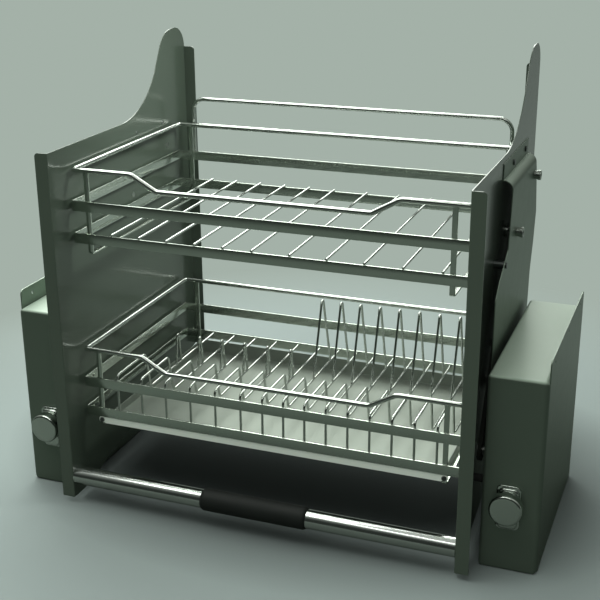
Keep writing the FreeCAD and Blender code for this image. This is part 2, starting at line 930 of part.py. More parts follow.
def bands(level):
    return [band(level + "_band", low) for low in band_lows[level]]


def rim(level):
    """Round rail round the top of a basket. Its front run dips so that things lift out."""
    radius = number(s.rim_radius)
    half = number(rim_half)
    front = number(s.basket_front) + radius
    back = number(basket_back) - radius
    high = number(rim_heights[level])
    low = high - number(s.dip_drop)
    run = [
        (0, front, low),
        (number(dip_inner), front, low),
        (number(dip_outer), front, high),
        (half, front, high),
        (half, back, high),
        (0, back, high),
    ]
    bends = [number(s.dip_bend)] * 2 + [number(s.rim_bend)] * 2
    right = bent_solid([FreeCAD.Vector(*spot) for spot in run], radius, bends)
    left = right.mirror(FreeCAD.Vector(0, 0, 0), FreeCAD.Vector(1, 0, 0))
    return shaped(level + "_rail", right.fuse(left).removeSplitter())


def strap(level):
    """Flat strip from the rail down behind the bars, under the basket and up again at the rear."""
    high = rim_heights[level] - s.rim_radius + s.weld_bite
    low = band_lows[level][0] - s.strap_drop
    front = band_inside
    back = basket_back - s.band_thick
    thick = s.strap_thick
    outline = [
        (front, high),
        (front, low),
        (back, low),
        (back, high),
        (back - thick, high),
        (back - thick, low + thick),
        (front + thick, low + thick),
        (front + thick, high),
    ]
    body = new_body(level + "_strap")
    pad(body, "yz", strap_place - s.strap_wide / 2, s.strap_wide, [outline])
    round_edges(body, "x", [(front, low), (back, low)], s.strap_bend + thick)
    inner = [(front + thick, low + thick), (back - thick, low + thick)]
    round_edges(body, "x", inner, s.strap_bend)
    if level == "upper":
        return body
    drills = [
        rod(
            s.basket_screw_radius + s.seat_fit, thick + 2 * DRILL_PAST,
            (strap_place, along - DRILL_PAST, height), "y",
        )
        for along, height in ((front, tray_screw_height), (back - thick, tray_rear_ear))
    ]
    return cut(body, drills)


def spread(first, last, count):
    """Evenly spaced places of a row of wires."""
    total = int(number(count))
    step = (number(last) - number(first)) / (total - 1)
    return [number(first) + step * index for index in range(total)]


floor_places = spread(s.floor_left_inset - band_half, s.floor_left_end, s.floor_left_wires)
floor_places += spread(s.floor_right_start, band_half - s.floor_right_inset, s.floor_right_wires)
plate_left_places = spread(s.plate_left_inset - band_half, s.plate_left_end, s.plate_left_wires)
plate_right_places = spread(s.plate_right_start, band_half - s.plate_right_inset, s.plate_right_wires)


def floor_wires():
    """Wires that run front to back on the upper basket's lower flat bar."""
    height = number(band_lows["upper"][0] + s.band_tall + s.wire_radius - s.weld_bite)
    return [
        rod(s.wire_radius, s.basket_depth, (place, s.basket_front, height), "y") for place in floor_places
    ]


def plate_floor():
    """Height of the plate wires where they lie on the basket's floor."""
    return number(band_lows["lower"][0] + s.band_tall - s.floor_sink)


def plate_wire(place):
    """Wire that stands at the front, runs back along the top, slants down and lies on the floor."""
    front = number(band_inside + s.wire_radius - s.weld_bite)
    end = number(basket_back - s.band_thick)
    floor = plate_floor()
    low = number(band_lows["lower"][0] + s.band_tall / 2)
    top = number(s.lower_band_low + s.plate_top)
    shelf = number(s.basket_front + s.plate_shelf)
    run = [
        (place, front, low),
        (place, front, top),
        (place, shelf, top),
        (place, shelf + number(s.plate_slant), floor),
        (place, end, floor),
    ]
    return bent_solid([FreeCAD.Vector(*spot) for spot in run], number(s.wire_radius), number(s.wire_bend))


def plate_wires():
    return [shaped("plate_wire", plate_wire(place)) for place in plate_left_places + plate_right_places]


def hairpin(place, start, apex, foot, top, bend):
    """Wire bent to a narrow peak. Its two ends stand on the floor run of a plate wire."""
    radius = number(s.wire_radius)
    low = plate_floor() + radius
    run = [
        (place, number(s.basket_front + start), low),
        (place, number(s.basket_front + apex), number(s.lower_band_low + top)),
        (place, number(s.basket_front + foot), low),
    ]
    return bent_solid([FreeCAD.Vector(*spot) for spot in run], radius, number(bend))


def plate_tines():
    """Tall hairpins towards the rear of the right-hand plate wires, low ones on the left-hand wires."""
    tall = [
        hairpin(place, s.tine_start, s.tine_apex, s.tine_foot, s.tine_top, s.tine_bend)
        for place in plate_right_places
    ]
    low = [
        hairpin(place, s.hump_start, s.hump_apex, s.hump_foot, s.hump_top, s.hump_bend)
        for place in plate_left_places
    ]
    return [shaped("tine", solid) for solid in tall + low]


def rear_hoop():
    """Inverted U of wire behind the upper basket, its feet bent forward to the flat bar."""
    half = number(hoop_half)
    back = number(hoop_back)
    top = number(hoop_top)
    foot = number(band_lows["upper"][1] + s.band_tall / 2)
    touch = number(basket_back)
    run = [
        (half, touch, foot),
        (half, back, foot),
        (half, back, top),
        (-half, back, top),
        (-half, back, foot),
        (-half, touch, foot),
    ]
    small = number(s.hoop_foot_bend)
    large = number(s.hoop_bend)
    bends = [small, large, large, small]
    return shaped("hoop", bent_solid([FreeCAD.Vector(*spot) for spot in run], number(s.hoop_radius), bends))


# Drip tray


def drip_tray():
    """Shallow pan that falls to the rear, with an ear past each strap in front and behind."""
    front = band_inside - s.tray_sheet
    back = basket_back - s.band_thick + s.tray_sheet
    outer = [
        (front, tray_front_low),
        (back, tray_rear_low),
        (back, tray_rear_top),
        (front, tray_front_top),
    ]
    inner = [
        (front + s.tray_sheet, tray_front_low + s.tray_sheet),
        (back - s.tray_sheet, tray_rear_low + s.tray_sheet),
        (back - s.tray_sheet, tray_front_top + DRILL_PAST),
        (front + s.tray_sheet, tray_front_top + DRILL_PAST),
    ]
    body = new_body("drip_pan")
    pad(body, "yz", -tray_half, tray_half * 2, [outer])
    inner_half = tray_half - s.tray_sheet
    pocket(body, "yz", -inner_half, inner_half * 2, [inner])
    ear_low = tray_front_top - s.tray_ear
    front_ear = rectangle(-ear_reach, ear_low, ear_reach, tray_front_top)
    hole = s.basket_screw_radius + s.hole_fit
    holes = [(side * strap_place, tray_screw_height, hole) for side in (1, -1)]
    pad(body, "xz", front, s.tray_sheet, [front_ear], holes)
    rear_low = tray_rear_ear - s.tray_ear / 2
    rear_ear = rectangle(-ear_reach, rear_low, ear_reach, rear_low + s.tray_ear)
    holes = [(side * strap_place, tray_rear_ear, hole) for side in (1, -1)]
    pad(body, "xz", back - s.tray_sheet, s.tray_sheet, [rear_ear], holes)
    ends = [(side * ear_reach, height) for side in (1, -1) for height in (ear_low, tray_front_top)]
    ends += [
        (side * ear_reach, height)
        for side in (1, -1)
        for height in (rear_low, rear_low + s.tray_ear)
    ]
    round_edges(body, "y", ends, s.ear_round)
    return body


def tray_screws():
    """Round-headed screws that hold the tray's ears to the straps."""
    front = band_inside - s.tray_sheet - s.low_head
    back = basket_back - s.band_thick + s.tray_sheet + s.low_head
    shank = s.tray_sheet + s.strap_thick
    heads = [(s.tray_screw_head, s.low_head), (s.basket_screw_radius, shank)]
    first = turned(heads, (strap_place, front, tray_screw_height), "y")
    start = back - s.low_head - shank
    second = turned(heads[::-1], (strap_place, start, tray_rear_ear), "y")
    return [first, second]


# Handle


def handle_tube():
    inner = s.handle_radius - s.handle_wall
    at = (-inner_half, *handle_spot)
    return turned([(s.handle_radius, inner_half * 2)], at, "x", inner)


def handle_grip():
    """Foam sleeve with soft ends on the middle of the tube."""
    at = (s.grip_shift - s.grip_long / 2, *handle_spot)
    sleeve = turned([(s.handle_radius + s.grip_wall, s.grip_long)], at, "x", s.handle_radius)
    doc.recompute()
    outer = number(s.handle_radius + s.grip_wall)
    rims = [
        (index, number(s.grip_round), number(s.grip_round))
        for index, edge in enumerate(sleeve.Shape.Edges, 1)
        if len(edge.Vertexes) == 1 and abs(edge.BoundBox.ZLength - 2 * outer) < 0.1
    ]
    soft = doc.addObject("Part::Fillet", "soft_sleeve")
    soft.Base = sleeve
    soft.Edges = rims
    return soft


def handle_fasteners():
    """A plug pressed into each end of the tube and the screw that holds it to the panel."""
    start = inner_half - s.plug_long
    plug_radius = s.handle_radius - s.handle_wall - s.seat_fit
    bore = s.handle_screw_radius + s.seat_fit
    plug = turned([(plug_radius, s.plug_long)], (start, *handle_spot), "x", bore)
    steps = [
        (s.handle_screw_radius, s.plug_long + s.sheet),
        (s.handle_screw_head, s.low_head),
    ]
    return [plug, turned(steps, (start, *handle_spot), "x")]


# Swing arms


def link(body, start, thick, half, first, second, holes):
    """Pads a bar with round ends between two centres in the side view."""
    way = FreeCAD.Vector(number(second[0] - first[0]), number(second[1] - first[1]), 0)
    sketch = draw(body, "yz", start, thick, [], holes)
    out = FreeCAD.Vector(-way.y, way.x, 0).normalize() * number(half)
    ends = [FreeCAD.Vector(number(spot[0]), number(spot[1]), 0) for spot in (first, second)]
    normal = FreeCAD.Vector(0, 0, 1)
    tilt = math.atan2(out.y, out.x)
    low = sketch.addGeometry(
        Part.ArcOfCircle(Part.Circle(ends[0], normal, number(half)), tilt, tilt + math.pi), False
    )
    high = sketch.addGeometry(
        Part.ArcOfCircle(Part.Circle(ends[1], normal, number(half)), tilt + math.pi, tilt + 2 * math.pi),
        False,
    )
    side = sketch.addGeometry(Part.LineSegment(ends[0] - out, ends[1] - out), False)
    other = sketch.addGeometry(Part.LineSegment(ends[1] + out, ends[0] + out), False)
    for first_edge, first_end, second_edge, second_end in (
        (low, 2, side, 1), (side, 2, high, 1), (high, 2, other, 1), (other, 2, low, 1),
    ):
        sketch.addConstraint(
            Sketcher.Constraint("Tangent", first_edge, first_end, second_edge, second_end)
        )
    for arc, spot in ((low, first), (high, second)):
        fix(sketch, "DistanceX", arc, 3, spot[0])
        fix(sketch, "DistanceY", arc, 3, spot[1])
    fix(sketch, "Radius", low, None, half)
    feature = body.newObject("PartDesign::Pad", body.Name + "_pad")
    feature.Profile = sketch
    feature.setExpression("Length", words(thick))
    doc.recompute()
    return feature


def swing_arm(which):
    """Flat arm with a pressed bead, bored for the shaft below and the pivot bush above."""
    shaft = shafts[which]
    pivot = pivots[which]
    holes = [
        (*shaft, s.shaft_radius + s.seat_fit),
        (*pivot, bush_radius + s.seat_fit),
    ]
    body = new_body(which + "_swing_arm")
    link(body, arm_start, s.arm_thick, s.arm_half, shaft, pivot, holes)
    long = root(s.arm_back * s.arm_back + arm_rise * arm_rise)
    back = s.arm_back / long * s.arm_bead_inset
    rise = arm_rise / long * s.arm_bead_inset
    first = (shaft[0] + back, shaft[1] + rise)
    second = (pivot[0] - back, pivot[1] - rise)
    link(body, arm_end, s.arm_bead, s.arm_bead_half, first, second, [])
    return body


def eye_bush(which):
    """Flanged bush pressed into the arm's upper eye."""
    steps = [
        (bush_radius, s.arm_thick),
        (bush_radius + s.bush_flange, s.bush_flange_thick),
    ]
    return turned(steps, (arm_start, *pivots[which]), "x", s.bolt_radius + s.run_fit)


def arm_shaft(which):
    """Shaft welded into the arm's lower end; a collar keeps it in the bearing plate."""
    start = arm_start - s.shaft_flange_thick
    collar_start = bearing_start + s.bearing_bush_long + s.side_play
    end = wall_start - s.side_play
    steps = [
        (s.shaft_flange, s.shaft_flange_thick),
        (s.shaft_radius, collar_start - arm_start),
        (s.shaft_collar, s.shaft_collar_thick),
        (s.shaft_radius, end - collar_start - s.shaft_collar_thick),
    ]
    return turned(steps, (start, *shafts[which]), "x")


# Wall boxes


mount_hole_places = [
    s.box_front + s.mount_hole_inset
    + (s.box_back - s.box_front - 2 * s.mount_hole_inset) * index / (s.mount_hole_count - 1)
    for index in range(int(number(s.mount_hole_count)))
]


plate_front = s.box_front + s.plate_inset
plate_back = s.box_back - s.plate_inset
plate_low = s.box_wall - s.stand + s.side_play
plate_high = s.box_top + s.plate_rise


def wall_plate():
    """Flat plate against the cupboard's side, with a row of screw holes above the box."""
    outline = rectangle(plate_front, plate_low, plate_back, plate_high)
    holes = [
        (place, plate_high - s.mount_hole_drop, s.mount_hole_radius)
        for place in mount_hole_places
    ]
    body = new_body("wall_plate")
    pad(body, "yz", wall_start, s.wall_plate, [outline], holes)
    round_edges(body, "x", [(plate_front, plate_high), (plate_back, plate_high)], s.plate_round)
    return body


def face_round(body, across, radius):
    """Rounds the whole outline of the body's flat side at that place across the rack."""
    edges = [
        "Edge%d" % index
        for index, edge in enumerate(body.Tip.Shape.Edges, 1)
        if edge.BoundBox.XLength < 0.001 and abs(edge.BoundBox.XMin - number(across)) < 0.001
    ]
    base = body.Tip
    feature = body.newObject("PartDesign::Fillet", body.Name + "_face_round")
    feature.Base = (base, edges)
    feature.setExpression("Radius", words(radius))
    doc.recompute()


def box_cover():
    """Deep cover folded over towards the wall, round a window for the wall plate."""
    outline = rectangle(s.box_front, -s.stand, s.box_back, s.box_top)
    body = new_body("box_cover")
    pad(body, "yz", box_inner, s.box_wide, [outline])
    round_edges(body, "x", corners_of(outline), s.box_round)
    face_round(body, box_inner, s.box_round)
    inside = rectangle(
        s.box_front + s.box_wall, -s.stand + s.box_wall, s.box_back - s.box_wall, s.box_top - s.box_wall
    )
    inner_start = box_inner + s.box_wall
    pocket(body, "yz", inner_start, wall_start - inner_start, [inside])
    face_round(body, wall_start, s.box_fold - s.box_wall)
    face_round(body, s.wall_half, s.box_fold)
    window = rectangle(
        plate_front - s.side_play, plate_low - s.side_play, plate_back + s.side_play, plate_high
    )
    pocket(body, "yz", wall_start, s.wall_plate + DRILL_PAST, [window])
    drill_start = box_inner - DRILL_PAST
    drill_long = s.box_wall + 2 * DRILL_PAST
    drills = [
        rod(s.bearing_bush + s.hole_fit, drill_long, (drill_start, *spot), "x")
        for spot in shafts.values()
    ]
    drills += [
        rod(s.buffer_radius + s.hole_fit, drill_long, (drill_start, *spot), "x") for spot in buffer_spots
    ]
    drills += [
        rod(s.cover_screw_radius + s.seat_fit, drill_long, (drill_start, *spot), "x")
        for spot in pillar_spots
    ]
    at = (works_half, s.box_front - DRILL_PAST, screw_height)
    drills.append(rod(s.knob_neck + s.hole_fit, drill_long, at, "y"))
    return cut(body, drills)


def bearing_plate():
    """Inner plate that carries the shafts' inner bushes, the buffers and the pillars."""
    outline = rectangle(bearing_front, s.bearing_low, bearing_back, bearing_top)
    holes = holes_at(shafts.values(), s.bearing_bush + s.seat_fit)
    holes += holes_at(pillar_spots, s.cover_screw_radius + s.seat_fit)
    body = new_body("bearing_plate")
    pad(body, "yz", bearing_start, s.bearing_sheet, [outline], holes)
    round_edges(body, "x", corners_of(outline), s.bearing_round)
    return body


def shaft_bushes():
    """A bush in the bearing plate and one against the wall plate for each shaft."""
    pieces = []
    bore = s.shaft_radius + s.run_fit
    for spot in shafts.values():
        for start in (bearing_start, wall_start - s.bearing_bush_long):
            at = (start, *spot)
            pieces.append(turned([(s.bearing_bush, s.bearing_bush_long)], at, "x", bore))
    return pieces


def plate_pillars():
    """Pillars between the bearing plate and the wall plate, bored for the cover screws."""
    pieces = []
    for spot in pillar_spots:
        pillar = rod(s.pillar_radius, wall_start - bearing_end, (bearing_end, *spot), "x")
        deep = s.cover_screw_deep - s.box_wall - s.bearing_sheet + s.side_play
        drill = rod(s.cover_screw_radius + s.seat_fit, deep, (bearing_end, *spot), "x")
        pieces.append(cut(pillar, [drill]))
    return pieces


def cover_screws():
    """Screws through the cover and the bearing plate into the pillars."""
    steps = [
        (s.cover_screw_head, s.cover_screw_proud),
        (s.cover_screw_radius, s.cover_screw_deep),
    ]
    start = box_inner - s.cover_screw_proud
    return [turned(steps, (start, *spot), "x") for spot in pillar_spots]


def arm_buffers():
    """Rubber buffers on the bearing plate: one meets the raised arm, one the lowered arm."""
    start = arm_start - s.side_play
    return [rod(s.buffer_radius, bearing_start - start, (start, *spot), "x") for spot in buffer_spots]


# Spring works inside the boxes

pitch_radius = s.gear_module * s.gear_teeth / 2
pitch_line = s.front_shaft_height - pitch_radius
rack_root = pitch_line - s.gear_module * TOOTH_ROOT
rack_low = rack_root - s.rack_bar
rack_front = s.box_front + s.rack_front_gap
rack_tail = s.box_back - s.rack_tail_gap
screw_height = rack_low - s.screw_drop
cross_low = screw_height - s.cross_drop
works_half = (box_inner + s.wall_half) / 2 - s.works_shift
works_start = works_half - s.gear_wide / 2
cross_half = works_half - bearing_end - s.cross_clear
spring_step = cross_half - s.spring_edge
carriage_back = s.box_front + s.carriage_gap
support_web_low = screw_height - s.support_drop


def gear_outline():
    """Points of a toothed wheel with involute flanks, one tooth pointing straight down."""
    module = number(s.gear_module)
    teeth = int(number(s.gear_teeth))
    pitch = number(pitch_radius)
    pressure = math.radians(number(s.pressure_angle))
    base = pitch * math.cos(pressure)
    tip = pitch + TOOTH_TIP * module
    foot = pitch - TOOTH_ROOT * module
    half_pitch = (math.pi / 2 - number(s.rack_back_play) / module) / teeth
    spread_angle = math.tan(pressure) - pressure
    flank = []
    for step in range(5):
        radius = base + (tip - base) * step / 4
        roll = math.sqrt(max((radius / base) ** 2 - 1, 0))
        flank.append((radius, half_pitch + spread_angle - (roll - math.atan(roll))))
    flank = [(foot, flank[0][1])] + flank
    spots = []
    for tooth in range(teeth):
        middle = -math.pi / 2 + 2 * math.pi * tooth / teeth
        sides = [(radius, middle - angle) for radius, angle in flank]
        sides += [(radius, middle + angle) for radius, angle in reversed(flank)]
        spots += [(radius * math.cos(angle), radius * math.sin(angle)) for radius, angle in sides]
    return spots


def pinion():
    """Toothed wheel pinned on the front arm's shaft."""
    start = number(works_start)
    back, height = number(front_shaft[0]), number(front_shaft[1])
    spots = [FreeCAD.Vector(start, back + u, height + v) for u, v in gear_outline()]
    face = Part.Face(Part.makePolygon(spots + spots[:1]))
    wheel = face.extrude(FreeCAD.Vector(number(s.gear_wide), 0, 0))
    bore = number(s.shaft_radius + s.seat_fit)
    way = FreeCAD.Vector(1, 0, 0)
    drill = Part.makeCylinder(bore, number(s.gear_wide), FreeCAD.Vector(start, back, height), way)
    return shaped("pinion_wheel", wheel.cut(drill))


def rack_outline():
    """Side view of the toothed bar under the pinion, with a gap straight below the shaft."""
    module = number(s.gear_module)
    step = math.pi * module
    middle = number(front_shaft[0])
    front = number(rack_front)
    back = number(rack_tail)
    top = number(pitch_line) + TOOTH_TIP * module
    foot = number(rack_root)
    low = number(rack_low)
    lean = math.tan(math.radians(number(s.pressure_angle)))
    half = (step / 2 - number(s.rack_back_play)) / 2
    spots = [(back, low), (back, foot)]
    first = math.ceil((front - middle) / step + 0.5)
    last = math.ceil(number(s.rack_teeth_back) / step)
    for index in range(last, first - 1, -1):
        centre = middle + (index - 0.5) * step
        wide = half + (number(pitch_line) - foot) * lean
        thin = half - (top - number(pitch_line)) * lean
        if centre - wide < front:
            break
        spots += [(centre + wide, foot), (centre + thin, top), (centre - thin, top), (centre - wide, foot)]
    spots += [(front, foot), (front, low)]
    return spots


def spring_rack():
    """Toothed bar with a cross plate at its rear end that the springs pull on."""
    start = number(works_start)
    corners = [FreeCAD.Vector(start, u, v) for u, v in rack_outline()]
    face = Part.Face(Part.makePolygon(corners + corners[:1]))
    bar = shaped("rack_bar", face.extrude(FreeCAD.Vector(number(s.gear_wide), 0, 0)))
    cross = block(
        cross_half * 2, s.cross_thick, rack_root - cross_low,
        (works_half - cross_half, rack_tail, cross_low),
    )
    return fuse([bar, cross])


def springs():
    """Two tension springs side by side, from the carriage to the rack's cross plate."""
    start = carriage_back + s.carriage_thick
    pieces = []
    for side in (-1, 1):
        at = (works_half + spring_step * side, start, screw_height)
        inner = s.spring_radius - s.spring_wire
        pieces.append(turned([(s.spring_radius, rack_tail - start)], at, "y", inner))
    return pieces


def carriage():
    """Cross block with the nut of the adjusting screw; the springs hang on its ends."""
    at = (works_half - cross_half, carriage_back, screw_height - s.carriage_low)
    bar = block(cross_half * 2, s.carriage_thick, s.carriage_tall, at)
    bore = s.screw_radius + s.run_fit
    hole_at = (works_half, carriage_back - DRILL_PAST, screw_height)
    return cut(bar, [rod(bore, s.carriage_thick + 2 * DRILL_PAST, hole_at, "y")])


def screw_supports():
    """Two brackets from the wall plate that hold the screw and guide the toothed bar."""
    pieces = []
    for back in (s.support_first, s.support_last):
        post = block(
            s.gear_wide, s.support_deep, rack_low - s.run_fit * 2 - support_web_low,
            (works_start, back, support_web_low),
        )
        web = block(
            wall_start - works_start, s.support_deep, s.support_web_tall,
            (works_start, back, support_web_low),
        )
        bore = rod(
            s.screw_radius + s.run_fit, s.support_deep + 2 * DRILL_PAST,
            (works_half, back - DRILL_PAST, screw_height), "y",
        )
        pieces.append(cut(fuse([post, web]), [bore]))
    return pieces


def adjusting_screw():
    """Screw from inside the knob to the rear support, with a thrust collar behind the box front."""
    start = s.knob_front + s.knob_thick / 2
    collar = s.box_front + s.box_wall + s.side_play
    end = s.support_last + s.support_deep
    steps = [
        (s.screw_radius, collar - start),
        (s.knob_neck, s.shaft_collar_thick),
        (s.screw_radius, end - collar - s.shaft_collar_thick),
    ]
    return turned(steps, (works_half, start, screw_height), "y")


def knob():
    """Thick disc with a short neck that turns in the plaque, bored for the screw."""
    neck = s.box_front + s.box_wall - s.knob_front - s.knob_thick
    at = (works_half, s.knob_front, screw_height)
    disc = turned([(s.knob_radius, s.knob_thick), (s.knob_neck, neck)], at, "y")
    deep = neck + s.knob_thick / 2
    drill_at = (works_half, s.knob_front + s.knob_thick / 2, screw_height)
    bored = cut(disc, [rod(s.screw_radius + s.seat_fit, deep + DRILL_PAST, drill_at, "y")])
    doc.recompute()
    wide = number(s.knob_radius) * 2
    rims = [
        (index, number(s.knob_round), number(s.knob_round))
        for index, edge in enumerate(bored.Shape.Edges, 1)
        if len(edge.Vertexes) == 1 and abs(edge.BoundBox.XLength - wide) < 0.1
    ]
    smooth = doc.addObject("Part::Fillet", "smooth_knob")
    smooth.Base = bored
    smooth.Edges = rims
    return smooth


def knob_plaque():
    """Tall plate with a raised middle on the front of the box; the knob's neck passes through it."""
    middle = screw_height - s.plaque_drop
    hole = (works_half, screw_height, s.knob_neck + s.hole_fit)
    body = new_body("plaque")
    front = s.box_front
    for inset, thick in ((0 * s.plaque_step, s.plaque_thick), (s.plaque_step, s.plaque_boss)):
        wide = s.plaque_wide / 2 - inset
        tall = s.plaque_tall / 2 - inset
        outline = rectangle(works_half - wide, middle - tall, works_half + wide, middle + tall)
        front = front - thick
        pad(body, "xz", front, thick, [outline], [hole])
        round_edges(body, "y", corners_of(outline), s.plaque_round)
    return body


# The whole rack

keep_pair("side_panel", [side_panel()])
keep_pair("pivot_bracket", [pivot_bracket()])
keep_both("pivot_fasteners", pivot_fasteners())
keep_both("bracket_spacers", bracket_spacers())
keep_both("bracket_screws", bracket_screws())
keep_both("basket_screws", basket_screws())
for level in ("upper", "lower"):
    keep(level + "_bands", bands(level))
    keep(level + "_rim", [rim(level)])
    keep_both(level + "_straps", [strap(level)])
keep("upper_floor_wires", floor_wires())
keep("plate_rack_wires", plate_wires())
keep("plate_tines", plate_tines())
keep("rear_hoop", [rear_hoop()])
keep("drip_tray", [drip_tray()])
keep_both("tray_screws", tray_screws())
keep("handle_tube", [handle_tube()])
keep("handle_grip", [handle_grip()])
keep_both("handle_fasteners", handle_fasteners())
for which in ("front", "rear"):
    keep_pair(which + "_arm", [swing_arm(which)])
    keep_pair(which + "_eye_bush", [eye_bush(which)])
    keep_pair(which + "_shaft", [arm_shaft(which)])
keep_pair("wall_plate", [wall_plate()])
keep_pair("box_cover", [box_cover()])
keep_pair("bearing_plate", [bearing_plate()])
keep_both("shaft_bushes", shaft_bushes())
keep_both("plate_pillars", plate_pillars())
keep_both("cover_screws", cover_screws())
keep_both("arm_buffers", arm_buffers())
keep_both("screw_supports", screw_supports())
keep_both("knob_plaques", [knob_plaque()])
keep_pair("pinion", [pinion()])
keep_pair("spring_rack", [spring_rack()])
keep_pair("springs", springs())
keep_pair("carriage", [carriage()])
keep_pair("adjusting_screw", [adjusting_screw()])
keep_pair("knob", [knob()])
doc.recompute()

failed = [item.Name for item in doc.Objects if "Invalid" in item.State or "Error" in item.State]
if failed:
    raise ValueError("failed objects: %s" % ", ".join(failed))
for name, node in nodes.items():
    if node.Shape.isNull() or not node.Shape.isValid() or not node.Shape.Solids:
        raise ValueError("no good shape for %s" % name)

os.makedirs("parts", exist_ok=True)
for name, node in nodes.items():
    node.Shape.exportStep("parts/%s.step" % name)
print(len(nodes), "sub-parts written")
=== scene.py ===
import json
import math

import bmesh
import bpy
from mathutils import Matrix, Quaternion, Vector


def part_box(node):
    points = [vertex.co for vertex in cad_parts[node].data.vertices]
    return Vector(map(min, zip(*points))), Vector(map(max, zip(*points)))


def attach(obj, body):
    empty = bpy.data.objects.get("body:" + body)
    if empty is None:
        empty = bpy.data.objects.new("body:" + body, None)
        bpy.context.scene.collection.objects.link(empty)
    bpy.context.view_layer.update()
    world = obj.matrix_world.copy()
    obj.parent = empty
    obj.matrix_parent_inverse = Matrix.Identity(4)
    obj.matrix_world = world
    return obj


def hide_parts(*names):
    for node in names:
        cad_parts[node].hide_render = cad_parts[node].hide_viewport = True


# %% [markdown]
# # A pull-down dish rack
# The rack hangs in a wall cupboard. Two wall boxes carry four swing arms, and the arms carry a
# frame of two lacquered side panels with chromed wire baskets, a steel drip tray and a pull bar.
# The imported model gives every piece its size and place. This script gives each one its finish, and
# models again, more finely, the pieces that a viewer sees.

# %% The fixed frame
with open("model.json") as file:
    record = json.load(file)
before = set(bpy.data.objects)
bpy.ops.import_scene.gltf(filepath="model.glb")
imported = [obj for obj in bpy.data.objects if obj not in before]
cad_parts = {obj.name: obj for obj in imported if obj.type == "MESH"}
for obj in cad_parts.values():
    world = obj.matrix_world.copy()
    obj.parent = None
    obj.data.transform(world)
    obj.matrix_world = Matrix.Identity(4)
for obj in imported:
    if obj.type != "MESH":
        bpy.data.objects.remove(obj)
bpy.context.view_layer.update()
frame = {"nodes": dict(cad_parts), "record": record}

nodes = frame["nodes"]

# %% [markdown]
# Lengths are written in millimetres from the front flanges' face and from the panels' lower corner,
# as a maker measures the rack. One function turns such a place into the frame's metres.

# %% Places
MM = 0.001
panel_low, panel_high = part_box("right_side_panel")
FRONT = panel_low.y
BASE = panel_low.z


def at(x, y, z):
    """A place in the rack's own millimetres, as a point of the frame."""
    return Vector((x * MM, FRONT + y * MM, BASE + z * MM))


print("front flange at y", round(FRONT, 4), "panel foot at z", round(BASE, 4))

# %% [markdown]
# The camera has the photograph's point of view: a little to the right of the middle and above
# the rack, far enough away for a long lens. Its place and angles were worked out from the rack's
# straight edges.

# %% Camera
PICTURE_WIDE = 600
FOCAL_PIXELS = 1156.9
SENSOR = 36.0
EYE = (632.2, -1439.3, 964.9)
AZIMUTH = math.radians(20.95)
ELEVATION = math.radians(20.21)
ROLL = math.radians(-0.39)

lens = bpy.data.cameras.new("photo_lens")
lens.sensor_width = SENSOR
lens.lens = FOCAL_PIXELS / PICTURE_WIDE * SENSOR
camera = bpy.data.objects.new("photo_camera", lens)
bpy.context.scene.collection.objects.link(camera)
bpy.context.scene.camera = camera

away = Vector((
    math.sin(AZIMUTH) * math.cos(ELEVATION),
    -math.cos(AZIMUTH) * math.cos(ELEVATION),
    math.sin(ELEVATION),
))
level_right = Vector((math.cos(AZIMUTH), math.sin(AZIMUTH), 0))
level_up = away.cross(level_right)
camera_right = level_right * math.cos(ROLL) + level_up * math.sin(ROLL)
camera_up = level_up * math.cos(ROLL) - level_right * math.sin(ROLL)
turn = Matrix((camera_right, camera_up, away)).transposed().to_4x4()
camera.matrix_world = Matrix.Translation(at(*EYE)) @ turn
print("lens", round(lens.lens, 1), "mm")

# %% [markdown]
# A finish is built from shader nodes. A small class wraps a socket, so that a pattern can be
# written as an ordinary sum, and one method adds any other node.

# %% Shader sums


class Field:
    """A value that changes over a surface. Arithmetic on it adds Math nodes."""

    def __init__(self, finish, socket):
        self.finish = finish
        self.socket = socket

    def _math(self, operation, first, second):
        """Adds one Math node."""
        return self.finish.add("ShaderNodeMath", {"operation": operation}, [first, second])

    def __add__(self, other):
        return self._math("ADD", self, other)

    def __radd__(self, other):
        return self._math("ADD", other, self)

    def __sub__(self, other):
        return self._math("SUBTRACT", self, other)

    def __rsub__(self, other):
        return self._math("SUBTRACT", other, self)

    def __mul__(self, other):
        return self._math("MULTIPLY", self, other)

    def __rmul__(self, other):
        return self._math("MULTIPLY", other, self)


